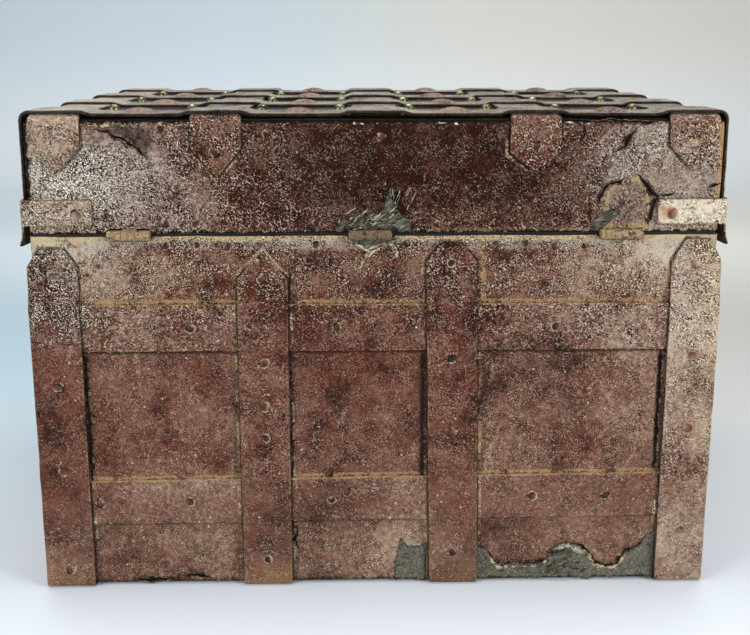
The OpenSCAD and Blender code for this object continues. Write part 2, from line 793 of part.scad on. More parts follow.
// Bolt at rest, drawn back: a bar with two fingers that pass through the loops when thrown
module lock_bolt() {
    start = -loop_pitch / 2 - loop_t / 2 - finger_gap - finger_l;
    color([0.45, 0.42, 0.38]) difference() {
        union() {
            translate([start - bar_end, loop_y - finger_y / 2, bar_z])
                cube([loop_pitch + finger_l + 2 * bar_end, finger_y, bar_h]);
            for (k = [0, 1]) {
                translate([start + k * loop_pitch, loop_y - finger_y / 2, eye_z + lock_fit])
                    cube([finger_l, finger_y, finger_h]);
                translate([start + k * loop_pitch, loop_y - finger_y / 2, bar_z])
                    cube([finger_root, finger_y, eye_z + lock_fit - bar_z + 1]);
            }
        }
        translate([notch_x, loop_y, bar_z]) rotate([90, 0, 0])
            cylinder(r = notch_r, h = 3 * finger_y, center = true);
    }
}

// Angle plate inside the lid's front, with two loops that drop into the lock
module lock_link() {
    color([0.34, 0.3, 0.27]) {
        translate([-link_w / 2, front_in - link_t, lid_wood_z]) cube([link_w, link_t, link_leg]);
        translate([-link_w / 2, front_in - case_d, lid_wood_z])
            cube([link_w, case_d, link_t]);
        for (s = [-1, 1]) difference() {
            translate([s * loop_pitch / 2 - loop_t / 2, loop_y - loop_w / 2, joint_z - loop_drop])
                cube([loop_t, loop_w, loop_drop + link_t]);
            translate([s * loop_pitch / 2 - loop_t, loop_y - loop_eye_w / 2, eye_z])
                cube([2 * loop_t, loop_eye_w, loop_eye_h]);
        }
    }
}

module lid_top_board() {
    color("burlywood") intersection() {
        lid_block(wood_x, wood_y, lid_wood_z, lid_wood_top, wood_corner_r, wood_lid_r);
        translate([-wood_x, -wood_y, lid_deck_z]) cube([2 * wood_x, 2 * wood_y, board_t]);
    }
}

module lid_back_board() {
    color("tan") difference() {
        tail_board(-wood_y, -wood_y + board_t, lid_wood_z, lid_deck_z, lid_tails);
        leaf_pockets(1);
        hinge_holes(1, rivet_r);
    }
}

module lid_front_board() {
    color("tan") tail_board(wood_y - board_t, wood_y, lid_wood_z, lid_deck_z, lid_tails);
}

module lid_side_board(s) {
    color("peru") pin_board(s, lid_wood_z, lid_deck_z, lid_tails);
}

module lid_leather() {
    color([0.34, 0.13, 0.1]) difference() {
        lid_block(hide_x, hide_y, lid_hide_z, lid_top, corner_r, lid_r);
        lid_block(wood_x, wood_y, lid_hide_z - 1, lid_wood_top, wood_corner_r, wood_lid_r);
        knuckle_windows();
    }
}

// Side view of a cross strap: down the back, over the lid and down the front
module cross_path(z0) {
    translate([0, z0]) difference() {
        arch(2 * (hide_y + strap_t), lid_strap_top - z0, lid_r + strap_t);
        translate([0, -1]) arch(2 * hide_y, lid_top - z0 + 1, lid_r);
    }
}

module cross_strap(k) {
    back_tip = lid_strap_top - tab_drop[k];
    color([0.26, 0.09, 0.08]) translate([cross_x[k], 0, 0]) intersection() {
        along_x(-lid_strap_w / 2, lid_strap_w / 2) cross_path(lid_hide_z);
        union() {
            along_y(-hide_y + lid_r, 2 * hide_y) translate([-lid_strap_w / 2, 0])
                square([lid_strap_w, 2 * lid_top]);
            if (tab_drop[k] > 0) translate([0, 0, back_tip])
                along_y(-2 * hide_y, -hide_y + lid_r + 1) mirror([0, 1])
                    tip(lid_strap_w, -2 * tab_drop[k], 0, tab_flat[k], tab_rise[k]);
        }
    }
}

// Height of a long strap's underside above the leather: it climbs over each cross strap
function ease(u) = (1 - cos(180 * u)) / 2;
function climb(side) = [for (i = [0:step_facets])
    [side < 0 ? (i / step_facets - 1) * step_run : i / step_facets * step_run,
     strap_t * (side < 0 ? ease(i / step_facets) : 1 - ease(i / step_facets))]];
half_w = lid_strap_w / 2;
wave = [for (k = [0:4]) each concat(
    k > 0 ? [for (p = climb(-1)) [cross_x[k] - half_w + p[0], p[1]]] : [],
    k < 4 ? [for (p = climb(1)) [cross_x[k] + half_w + p[0], p[1]]] : [])];

// Side view of a long strap, in X and Z: over the lid and down both ends
module long_path() {
    leg_x = hide_x + end_stand;
    flat_x = leg_x - long_r;
    under = concat([[-flat_x, strap_t]], wave, [[flat_x, strap_t]]);
    n = len(under) - 1;
    polygon(concat(
        [for (p = under) [p[0], lid_top + p[1]]],
        [for (i = [0:n]) [under[n - i][0], lid_top + under[n - i][1] + strap_t]]));
    for (m = [0, 1]) mirror([m, 0]) {
        intersection() {
            translate([flat_x, lid_strap_top - long_r]) difference() {
                circle(long_r + strap_t);
                circle(long_r);
            }
            translate([flat_x, lid_strap_top - long_r]) square(2 * long_r + strap_t);
        }
        translate([leg_x, lid_hide_z]) square([strap_t, lid_strap_top - long_r - lid_hide_z]);
    }
}

module long_strap(k) {
    color([0.27, 0.1, 0.09])
        along_y(long_y[k] - lid_strap_w / 2, long_y[k] + lid_strap_w / 2) long_path();
}

// Band round the lid's rim, over the ends of the straps, with two tabs on the back
module rim_band() {
    in_x = hide_x + end_stand + strap_t;
    in_front = hide_y + strap_t;
    z0 = joint_z - rim_lap;
    shift = strap_t / 2;
    color([0.24, 0.09, 0.08]) difference() {
        translate([0, shift, z0]) linear_extrude(rim_w)
            plan(2 * (in_x + strap_t), 2 * (hide_y + strap_t + shift), corner_r);
        translate([0, shift, z0 - 1]) linear_extrude(rim_w + 2)
            plan(2 * in_x, 2 * (hide_y + shift), corner_r - strap_t);
        translate([-in_x - strap_t + rim_tab, -2 * hide_y, z0 - 1])
            cube([2 * (in_x + strap_t - rim_tab), hide_y + strap_t, rim_w + 2]);
        translate([-in_x, -hide_y - 2 * strap_t, z0 - 1])
            cube([2 * in_x, 3 * strap_t, joint_z + rim_tab_z - z0 + 1]);
    }
}

module lid_bosses() {
    color([0.3, 0.14, 0.1]) for (i = [0:3], y = long_y)
        translate([(cross_x[i] + cross_x[i + 1]) / 2, y, lid_strap_top]) dome(boss_d, boss_h);
}

module brass_studs() {
    off = lid_strap_w / 2 + stud_gap;
    color([0.6, 0.52, 0.26]) for (i = [0:3], j = [0:2], s = [0, 1])
        translate([s == 0 ? cross_x[i] + off : cross_x[i + 1] - off,
                   (long_y[j] + long_y[j + 1]) / 2, lid_top]) dome(stud_d, stud_h);
}

// Nails of the rim band: below its upper edge, and in from the tabs' ends
rim_nail_drop = 15;
rim_nail_in = 22;

module lid_nails() {
    rim_z = joint_z - rim_lap + rim_w - rim_nail_drop;
    face = hide_y + strap_t;
    color([0.36, 0.22, 0.16]) {
        for (k = [0, 1, 3, 4])
            on_back(cross_x[k], face, lid_strap_top - tab_drop[k] + tab_nail_rise[k])
                dome(nail_d, nail_h);
        for (s = [-1, 1]) on_back(s * (hide_x - rim_tab + rim_nail_in), face, rim_z) dome(nail_d, nail_h);
        for (x = cross_x) on_front(x, face + strap_t, rim_z) dome(nail_d, nail_h);
        for (s = [-1, 1], y = long_y)
            on_side(s, hide_x + end_stand + 2 * strap_t, y, rim_z) dome(nail_d, nail_h);
    }
}

// Tacks near the top of the lid's back: distance from the middle and below the top
upper_tacks = [[-212, 11.5], [-108, 16.5], [5, 20]];

module lid_tacks() {
    n = floor((hide_x - rim_tab - tack_d) / tack_pitch);
    color([0.4, 0.24, 0.14]) {
        for (k = [-n:n]) if (clear_of(k * tack_pitch, hinge_x, hinge_w / 2))
            on_back(k * tack_pitch, hide_y, joint_z + tack_row + lid_wander * sin(131 * k))
                dome(tack_d, tack_h);
        for (p = upper_tacks) on_back(p[0], hide_y, lid_top - p[1]) dome(tack_d, tack_h);
    }
}

bottom_board();
back_board();
front_board();
side_board(-1);  // left_board
side_board(1);  // right_board
body_leather();
girth_band(upper_z);  // upper_band
girth_band(lower_z);  // lower_band
body_strap(0);  // body_strap_1
body_strap(1);  // body_strap_2
body_strap(2);  // body_strap_3
body_strap(3);  // body_strap_4
end_straps(-1);  // left_end_straps
end_straps(1);  // right_end_straps
body_strap_nails();
band_nails();
body_tacks();
color([0.35, 0.3, 0.22]) leaf(hinge_x[0], -1);  // left_hinge_body_leaf
color([0.35, 0.3, 0.22]) leaf(hinge_x[1], -1);  // middle_hinge_body_leaf
color([0.35, 0.3, 0.22]) leaf(hinge_x[2], -1);  // right_hinge_body_leaf
hinge_pins();
hinge_rivets(-1);  // body_hinge_rivets
handle_plate(-1);  // left_handle_plate
handle_plate(1);  // right_handle_plate
handle_rivets();
bail(-1);  // left_bail
bail(1);  // right_bail
lock_case();
lock_nails();
escutcheon();
lock_bolt();
lid_top_board();
lid_back_board();
lid_front_board();
lid_side_board(-1);  // lid_left_board
lid_side_board(1);  // lid_right_board
lid_leather();
cross_strap(0);  // cross_strap_1
cross_strap(1);  // cross_strap_2
cross_strap(2);  // cross_strap_3
cross_strap(3);  // cross_strap_4
cross_strap(4);  // cross_strap_5
long_strap(0);  // long_strap_1
long_strap(1);  // long_strap_2
long_strap(2);  // long_strap_3
long_strap(3);  // long_strap_4
rim_band();
lid_bosses();
brass_studs();
lid_nails();
lid_tacks();
color([0.38, 0.33, 0.24]) leaf(hinge_x[0], 1);  // left_hinge_lid_leaf
color([0.38, 0.33, 0.24]) leaf(hinge_x[1], 1);  // middle_hinge_lid_leaf
color([0.38, 0.33, 0.24]) leaf(hinge_x[2], 1);  // right_hinge_lid_leaf
hinge_rivets(1);  // lid_hinge_rivets
lock_link();
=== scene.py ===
# %% [markdown]
# # An iron-bound travelling chest
# The imported model gives every board, strap, hinge and nail at its true place. This lesson dresses it:
# the leather gets its pebbled, lacquered skin, the straps get worn and slightly wavy edges, and the torn
# places get their fillers. First the frame is loaded, and the box of each of its nodes can be read. The
# dressed chest has to stay inside it.

# %% Load the frame
import math
from types import SimpleNamespace
import bmesh
import bpy
import numpy as np
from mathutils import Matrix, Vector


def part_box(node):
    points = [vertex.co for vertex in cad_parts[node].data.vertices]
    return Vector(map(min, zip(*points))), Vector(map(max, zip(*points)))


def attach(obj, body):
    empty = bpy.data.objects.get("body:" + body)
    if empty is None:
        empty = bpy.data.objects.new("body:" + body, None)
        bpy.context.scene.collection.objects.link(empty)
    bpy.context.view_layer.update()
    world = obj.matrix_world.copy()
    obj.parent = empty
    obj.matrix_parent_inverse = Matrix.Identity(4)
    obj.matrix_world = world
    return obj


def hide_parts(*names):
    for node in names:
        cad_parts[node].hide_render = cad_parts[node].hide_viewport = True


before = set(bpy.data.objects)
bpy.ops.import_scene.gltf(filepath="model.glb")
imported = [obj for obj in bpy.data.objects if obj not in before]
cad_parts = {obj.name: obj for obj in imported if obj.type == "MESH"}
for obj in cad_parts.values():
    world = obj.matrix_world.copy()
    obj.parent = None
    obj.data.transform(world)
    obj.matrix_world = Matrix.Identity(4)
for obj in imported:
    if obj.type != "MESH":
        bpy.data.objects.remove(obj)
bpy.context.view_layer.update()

# %% [markdown]
# ## Sizes in millimetres
# A maker thinks in millimetres, and Blender works in metres. So sizes are kept in millimetres here
# and are scaled once, when a mesh is made. The main sizes are read from the frame, so the dressing
# follows the model when a size changes there.

# %% Sizes read from the frame
MM = 0.001


def span(node):
    """Lowest and highest corner of a node of the model, in millimetres."""
    low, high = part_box(node)
    return np.array(low) / MM, np.array(high) / MM


hide_low, hide_high = span("body_leather")
lid_low, lid_high = span("lid_leather")
rim_low, rim_high = span("rim_band")
HIDE_X, HIDE_Y = hide_high[:2]
LID_STRAP_TOP = span("cross_strap_3")[1][2]
STRAP = LID_STRAP_TOP - lid_high[2]
LEATHER = 1.6
JOINT = (hide_high[2] + lid_low[2]) / 2
print("leather:", HIDE_X, HIDE_Y, "strap:", round(STRAP, 2), "joint:", round(JOINT, 2))

# %% [markdown]
# ## Strap ends
# Each upright strap and each tab of the lid ends in a cut tip, and no two are alike. A tip is given by
# its height, the width of its blunt end and the height over which it widens. One upright strap leans,
# and the lower band climbs. Both the shapes and the dirt lines beside them use these values.

# %% Strap ends
def middles(name, count, axis=0):
    """Where the straps of a family stand along the width, or along the depth with axis 1."""
    return [sum(corner[axis] for corner in span(f"{name}_{k + 1}")) / 2 for k in range(count)]


STRAP_HALF = 25.5
STRAP_X = middles("body_strap", 4)
BACK_TIP = [368.0, 364.0, 373.5, 376.5]
TIP_FLAT = [26, 3, 20, 24]
TIP_RISE = [18.5, 28, 19.5, 22]
LEANING = 2
LEAN_FOOT = 7.0
BAND_CLIMB = 0.0095
LID_HALF = 25.0
CROSS_X = middles("cross_strap", 5)
TAB_DROP = [54.5, 61, 0, 56, 56]
TAB_FLAT = [10, 3, 3, 4, 3]
TAB_RISE = [21, 27, 1, 17, 24]

# %% [markdown]
# ## The camera
# The photograph was taken a good arm's length from the hinge side, from a little above the lid. The
# lens and place were worked out from the corners of the back and of the lid's top. The optical axis
# passes above the middle of the picture, so the lens is shifted by a tenth of the width.

# %% Camera
PICTURE_WIDTH = 750
FOCAL_PIXELS = 1000
AXIS_SHIFT_PIXELS = -75
SENSOR_WIDTH = 36
CAMERA_PLACE = (-0.0202, -1.2202, 0.5722)
LOOKS_DOWN = 0.19965
TURNS_RIGHT = 0.01936


def linked(name, data):
    """A new object in the scene."""
    made = bpy.data.objects.new(name, data)
    bpy.context.scene.collection.objects.link(made)
    return made


camera_data = bpy.data.cameras.new("camera")
camera_data.sensor_width = SENSOR_WIDTH
camera_data.lens = SENSOR_WIDTH * FOCAL_PIXELS / PICTURE_WIDTH
camera_data.shift_y = AXIS_SHIFT_PIXELS / PICTURE_WIDTH
camera = linked("camera", camera_data)
camera.location = CAMERA_PLACE
camera.rotation_euler = (math.pi / 2 - LOOKS_DOWN, 0, -TURNS_RIGHT)
bpy.context.scene.camera = camera
print("lens:", camera_data.lens)

# %% [markdown]
# ## Floor and light
# A plain, pale sheet runs from under the chest up behind it, in one curve, as a photographer's backdrop
# does. Its colour is painted lighter near the camera and at the foot of the wall, and darker far off and
# towards the sides, as painted light. A soft lamp stands on either side of the camera, and a broad one
# hangs above. Between them the lacquer mirrors a darker room, so the middle of the chest stays deep red
# and its sides catch a grey sheen. The finishes add a painted dark reflection to the middle of the lid and
# painted sheen to its ends.

# %% Backdrop
def backdrop():
    """A floor that curves up into a wall behind the chest, in metres."""
    reach, wall, bend, steps, half = 2.6, 2.4, 0.6, 10, 6.0
    turn = [math.pi / 2 * i / steps for i in range(steps + 1)]
    side = [(reach + bend * math.sin(a), bend * (1 - math.cos(a))) for a in turn]
    side = [(-half, 0.0)] + side + [(reach + bend, wall)]
    points = [(x, y, z) for x in (-half, half) for y, z in side]
    n = len(side)
    faces = [(i, i + n, i + n + 1, i + 1) for i in range(n - 1)]
    mesh = bpy.data.meshes.new("backdrop")
    mesh.from_pydata(points, [], faces)
    mesh.shade_smooth()
    return linked("backdrop", mesh)


stage_sheet = backdrop()


# %% Lamps and room light
def lamp(name, place, target, size, power, colour=(1.0, 1.0, 1.0)):
    """A rectangular soft lamp at place, in metres, that faces target."""
    data = bpy.data.lights.new(name, "AREA")
    data.shape = "RECTANGLE"
    data.size, data.size_y = size
    data.energy = power
    data.color = colour
    made = linked(name, data)
    made.location = place
    step = np.array(target) - np.array(place)
    flat = math.hypot(step[0], step[1])
    made.rotation_euler = (math.pi / 2 + math.atan2(step[2], flat), 0, math.atan2(-step[0], step[1]))


CHEST_MIDDLE = (0, 0, 0.25)
lamp("left_softbox", (-1.9, -1.7, 0.9), CHEST_MIDDLE, (0.7, 1.3), 36, (1.0, 0.98, 0.95))
lamp("right_softbox", (1.9, -1.5, 0.8), CHEST_MIDDLE, (0.7, 1.3), 38, (0.98, 0.98, 1.0))
lamp("top_softbox", (0.0, 0.2, 2.3), (0, 0, 0.4), (2.2, 1.6), 66)
world = bpy.data.worlds.new("room")
bpy.context.scene.world = world
world.use_nodes = True
room_light = world.node_tree.nodes["Background"].inputs
room_light["Color"].default_value = (0.85, 0.89, 0.93, 1)
room_light["Strength"].default_value = 0.42
bpy.context.scene.view_settings.view_transform = "Standard"

# %% [markdown]
# ## Shader sums as plain Python
# A finish is a sum of masks: grain, wear, dust, rust. Written node by node that is long and hard to
# read. A small class wraps a socket, so that `1 - wear * 0.5` adds its Math nodes by itself. Every
# other node comes from one method of the finish.

# %% Shader helper
class Value:
    """A shader socket that can be written in a sum."""

    def __init__(self, finish, socket):
        self.finish = finish
        self.socket = socket

    def math(self, operation, first, second=0.0):
        """A Math node on two values."""
        return self.finish.node("ShaderNodeMath", {"operation": operation}, {0: first, 1: second})

    def __add__(self, other):
        return self.math("ADD", self, other)

    def __radd__(self, other):
        return self.math("ADD", other, self)

    def __sub__(self, other):
        return self.math("SUBTRACT", self, other)

    def __rsub__(self, other):
        return self.math("SUBTRACT", other, self)

    def __mul__(self, other):
        return self.math("MULTIPLY", self, other)

    def __rmul__(self, other):
        return self.math("MULTIPLY", other, self)

    def least(self, other):
        return self.math("MINIMUM", self, other)

    def most(self, other):
        return self.math("MAXIMUM", self, other)

    def size(self):
        return self.math("ABSOLUTE", self)

    def ramp(self, low, high):
        """0 below low, 1 above high, and a smooth rise between. With low above high it falls."""
        flip = low > high
        a, b = (high, low) if flip else (low, high)
        risen = self.finish.node("ShaderNodeMapRange", {"interpolation_type": "SMOOTHSTEP"},
                                 {"Value": self, "From Min": a, "From Max": b})
        return 1 - risen if flip else risen


class Finish:
    """A material that is being made: its nodes, and the shader that they feed."""

    def __init__(self, name):
        self.material = bpy.data.materials.new(name)
        self.material.use_nodes = True
        self.tree = self.material.node_tree
        self.shader = self.tree.nodes["Principled BSDF"]
        self.place = self.node("ShaderNodeTexCoord", output="Object")

    def node(self, kind, settings=None, inputs=None, output=0):
        """Any node: its settings are set first, then its inputs are given values or linked."""
        made = self.tree.nodes.new(kind)
        for key, value in (settings or {}).items():
            setattr(made, key, value)
        for key, value in (inputs or {}).items():
            if isinstance(value, Value):
                self.tree.links.new(value.socket, made.inputs[key])
            else:
                made.inputs[key].default_value = value
        return Value(self, made.outputs[output])

    def axes(self, unit=MM):
        """The three coordinates of the place, in millimetres, or in metres with unit 1."""
        split = self.tree.nodes.new("ShaderNodeSeparateXYZ")
        self.tree.links.new(self.place.socket, split.inputs[0])
        found = [Value(self, split.outputs[i]) for i in range(3)]
        return found if unit == 1 else [axis * (1 / unit) for axis in found]

    def stretched(self, scale, turned=(0.0, 0.0, 0.0)):
        """The place, turned and then squeezed, so that noise on it becomes fibres or streaks."""
        return self.node("ShaderNodeMapping", {"vector_type": "TEXTURE"}, {
            "Vector": self.place, "Scale": tuple(1 / s for s in scale), "Rotation": turned})

    def noise(self, size, detail=3.0, rough=0.55, at=None):
        """Cloudy noise from 0 to 1, with patches about size millimetres apart."""
        return self.node("ShaderNodeTexNoise", {}, {
            "Vector": at or self.place, "Scale": 1 / (size * MM), "Detail": detail, "Roughness": rough})

    def cells(self, size):
        """Distance to the nearest of many points that lie about size millimetres apart."""
        return self.node("ShaderNodeTexVoronoi", {}, {"Vector": self.place, "Scale": 1 / (size * MM)})

    def blend(self, first, second, share):
        """A colour between two colours."""
        return self.node("ShaderNodeMix", {"data_type": "RGBA"}, {0: share, 6: first, 7: second}, 2)

    def shade(self, colour, amount):
        """A colour made lighter or darker by amount, which varies round 1."""
        grey = self.node("ShaderNodeCombineColor", {}, {0: amount, 1: amount, 2: amount})
        return self.node("ShaderNodeMix", {"data_type": "RGBA", "blend_type": "MULTIPLY"},
                         {0: 1.0, 6: colour, 7: grey}, 2)

    def tag(self, name):
        """A value that is stored on the mesh."""
        return self.node("ShaderNodeAttribute", {"attribute_name": name}, {}, "Fac")

    def bump(self, height, depth):
        """Feeds the shader's normal with relief: height from 0 to 1 stands depth millimetres high."""
        relief = self.node("ShaderNodeBump", {}, {"Height": height, "Distance": depth * MM})
        self.tree.links.new(relief.socket, self.shader.inputs["Normal"])

    def feed(self, **values):
        """Sets or links the shader's own sockets, by their names."""
        for key, value in values.items():
            socket = self.shader.inputs[key.replace("_", " ")]
            if isinstance(value, Value):
                self.tree.links.new(value.socket, socket)
            else:
                socket.default_value = value


def paint(red, green, blue):
    """A colour given as on a screen, from 0 to 255, in the shader's own linear values."""
    parts = [c / 255 for c in (red, green, blue)]
    return tuple(c / 12.92 if c <= 0.04045 else ((c + 0.055) / 1.055) ** 2.4 for c in parts) + (1.0,)


# %% Backdrop finish
# Painted light: the evenly pale sheet gets a lighter colour near the camera and at the foot of the wall,
# and a darker one far off and towards the sides.
pale = Finish("pale_sheet")
soft_cloud = pale.noise(900, 2.0)
sheet_x, sheet_y, sheet_z = pale.axes(unit=1)
rightwards = sheet_x.ramp(-0.5, 0.6)
far_floor = pale.blend(paint(158, 178, 188), paint(170, 170, 166), rightwards)
floor_colour = pale.blend(far_floor, pale.shade(far_floor, 1.04), soft_cloud)
near_floor = pale.blend(paint(218, 224, 231), paint(194, 199, 205), sheet_x.size().ramp(0.22, 0.56))
floor_colour = pale.blend(floor_colour, near_floor, sheet_y.ramp(0.6, -0.4))
wall_colour = pale.blend(paint(212, 223, 228), paint(226, 224, 216), rightwards)
painted_light_at_wall_foot = sheet_y.ramp(1.9, 2.7) * sheet_z.ramp(0.7, 0.1)
wall_colour = pale.blend(wall_colour, paint(240, 246, 250), painted_light_at_wall_foot * 0.8)
to_wall = sheet_z.ramp(0.05, 0.7).most(sheet_y.ramp(0.7, 1.7))
pale.feed(Base_Color=pale.blend(floor_colour, wall_colour, to_wall), Roughness=0.9)
stage_sheet.data.materials.append(pale.material)

# %% [markdown]
# ## Lacquered leather
# The chest is covered in leather with a pebbled face, painted oxblood and lacquered. A century of trunk
# rooms has rubbed the lacquer to an ashen bloom in patches and left ochre dirt in the creases. The black
# in the gaps is soot and painted shade together, and the glints on the pebbles and part of the pale grey
# at the ends are painted sheen. The grain is noise of two sizes, pebbles and grit. It mixes a dark and a
# pale colour and also carries the bump. Each part then adds its own marks at its own places.

# %% Lacquer colours
DEEP = paint(40, 13, 6)
OXBLOOD = paint(77, 34, 23)
BLOOM = paint(122, 92, 77)
ASH = paint(166, 146, 122)
# This pale grey is the lid's bloom, and also the colour of painted glints and painted sheen.
FROST_AND_SHEEN = paint(184, 174, 161)
OCHRE = paint(160, 132, 94)
RUST = paint(168, 98, 48)
CREAM = paint(190, 172, 138)
# This black is soot, and also painted shade in gaps, in cracks, under edges and round nail heads.
SOOT_AND_SHADE = paint(12, 9, 8)


# %% Lacquer recipe
def lacquer(name, marks, contrast, depth, rough, paleness, ash=ASH, pebble_size=2.8):
    """Pebbled, painted leather. marks adds what is special to a part, and is called twice.

    Without a colour it says how much paler the leather is here and there. With one it paints on it."""
    f = Finish(name)
    x, y, z = f.axes()
    broad = f.noise(150, 2.0) - 0.5
    cloud = f.noise(42, 2.0) - 0.5
    blotch = f.noise(26, 4.0, 0.6)
    slant = f.stretched((0.7, 1.0, 1.2), (0.0, 0.6, 0.0))
    pebble = f.noise(pebble_size, 2.0, 0.7, slant).ramp(0.27, 0.73)
    grit = f.noise(1.0, 1.0, 0.6).ramp(0.28, 0.72)
    fuzz = f.noise(5.0, 3.0, 0.65) - 0.5
    patch = f.noise(17, 3.0, 0.6).ramp(0.36, 0.62)
    grain = (pebble * 0.55 + grit * 0.45 - 0.5) * (patch * 0.9 + 0.55)
    spots = SimpleNamespace(x=x, y=y, z=z, wx=x + fuzz * 9, wz=z + fuzz * 9, blotch=blotch, fuzz=fuzz,
                            grain=grain, calm=0.0, on_back=y.ramp(-200, -225))
    extra = marks(f, spots, None)
    rise = z.ramp(90, 160) * 0.18 + z.ramp(230, 380) * 0.51 + 0.31
    rise = rise * contrast * (1 - spots.calm * 0.55)
    share = (grain * 1.3 + (blotch - 0.5) * 1.1 + fuzz * 1.0 + cloud * 1.2) * rise + paleness
    share = share + broad * 0.7 + extra
    dark = f.blend(DEEP, OXBLOOD, (blotch + broad * 0.6).ramp(0.34, 0.58))
    pale = f.blend(BLOOM, ash, (extra * 1.6 + fuzz + broad).ramp(0.0, 0.7))
    colour = f.blend(dark, pale, share.ramp(0.0, 1.0))
    fleck = f.noise(4.0, 2.0, 0.6).ramp(0.64, 0.72)
    colour = f.blend(colour, paint(170, 132, 94), fleck * 0.4)
    # Painted glints: pale specks on the pebbles' tops stand in for highlights, most of all high up and in
    # the pale patches.
    painted_glint = grain.ramp(0.2, 0.42) * (extra + z.ramp(250, 370) * 0.5 + fuzz).ramp(-0.2, 0.5)
    colour = f.blend(colour, FROST_AND_SHEEN, painted_glint * 0.6)
    speck = f.cells(13).ramp(0.11, 0.06) * f.noise(50, 2.0).ramp(0.46, 0.6)
    colour = f.blend(colour, paint(206, 188, 164), speck * 0.75)
    colour = marks(f, spots, colour)
    colour = f.blend(colour, paint(40, 23, 15), (grain * rise).ramp(-0.08, -0.75) * 0.9)
    colour = f.shade(colour, (grain * rise).most(0.0) * 1.6 + 1)
    f.feed(Base_Color=colour, Roughness=rough + (blotch - 0.5) * 0.4 + fuzz * 0.15,
           Coat_Weight=0.16 - blotch * 0.14, Coat_Roughness=0.14, Specular_IOR_Level=0.08,
           Specular_Tint=(1.0, 0.7, 0.5, 1.0))
    f.bump(grain * rise, depth)
    return f.material


# %% [markdown]
# ## Marks of age
# The real chest is pale where hands and carts rubbed it, and dirty where straps kept the cloth away.
# Painting that by hand would need an image, so each mark is a mask made of ramps along the width and the
# height. p holds the place in millimetres, as x, y and z, and as wx and wz with noise in them, so that a
# line there wavers. It also holds the noises, and calm says where the grain shows less. Some of the marks
# are painted light and shade: black lines beside straps and in gaps, darkening under edges, grey sheen at
# the ends, and glints.

# %% Masks for marks
def crease(at, centre, half, soft=1.6):
    """1 on a line and 0 away from it."""
    return (at - centre).size().ramp(half + soft, half * 0.4)


def crumbly(p, mask):
    """Dirt that lies in crumbs where it ends, as the grain lets it."""
    return (mask + p.grain * 0.6 + p.fuzz * 1.6).ramp(0.5, 0.85) * (p.grain * 0.6 + 0.7)


def between(at, low, high, soft=6.0):
    """1 from low to high and 0 outside, with soft borders."""
    return at.ramp(low - soft, low + soft) * at.ramp(high + soft, high - soft)


def beside(p, off, half, tip, flat, rise, way):
    """Distance outwards from a strap's outline. off is the distance from its middle line."""
    cut = (off - flat / 2).most(0.0) * (rise / (half - flat / 2))
    return (off - half).most(((p.z - tip) * way + cut) * 0.7)


def nearest_of(p, distances):
    """The least of several distances, made uneven."""
    nearest, *others = distances
    for other in others:
        nearest = nearest.least(other)
    return nearest + p.fuzz * 2


def beside_strap(p, k):
    """Distance outwards from one upright strap."""
    lean = (p.z * (-1 / BACK_TIP[k]) + 0.5) * LEAN_FOOT if k == LEANING else 0.0
    off = (p.x - STRAP_X[k] - lean).size()
    return beside(p, off, STRAP_HALF, BACK_TIP[k], TIP_FLAT[k], TIP_RISE[k], 1)


def beside_tab(p, k):
    """Distance outwards from one tab on the lid's back."""
    off = (p.x - CROSS_X[k]).size()
    return beside(p, off, LID_HALF, LID_STRAP_TOP - TAB_DROP[k], TAB_FLAT[k], TAB_RISE[k], -1)


def beside_straps(p):
    """Distance outwards from the nearest upright strap."""
    return nearest_of(p, [beside_strap(p, k) for k in range(len(STRAP_X))])


def beside_tabs(p):
    """Distance outwards from the nearest tab."""
    return nearest_of(p, [beside_tab(p, k) for k in range(len(CROSS_X)) if TAB_DROP[k]])


def edge_shadow_and_dashes(f, p, colour, away, on_back):
    """A painted shadow line close to a strap's edge, with cream dashes outside it. One tip is paler."""
    pale_tip = between(p.z, 344, 372, 3) * between(p.x, -130, -40)
    dark = crease(away, 0.8, 0.7, 1.2) * (p.blotch + p.fuzz + 0.3).ramp(0.6, 1.0)
    dark = dark * (1 - pale_tip * 0.85)
    colour = f.blend(colour, SOOT_AND_SHADE, dark * on_back * 0.85)
    dashes = f.noise(24, 3.0, 0.6).ramp(0.5, 0.6) * (p.grain + 0.6).ramp(0.3, 0.8)
    dashes = dashes.most(pale_tip * (p.grain + 0.9).ramp(0.2, 0.7))
    cream_line = crease(away + pale_tip * 2.2, 3.3, 0.9, 1.3)
    return f.blend(colour, CREAM, cream_line * dashes * on_back * 0.85)


# %% Marks on the body's leather
UPPER_TOP, UPPER_FOOT = 312.4, 259.0
LOWER_TOP, LOWER_FOOT_EDGE = 124.6, 73.5


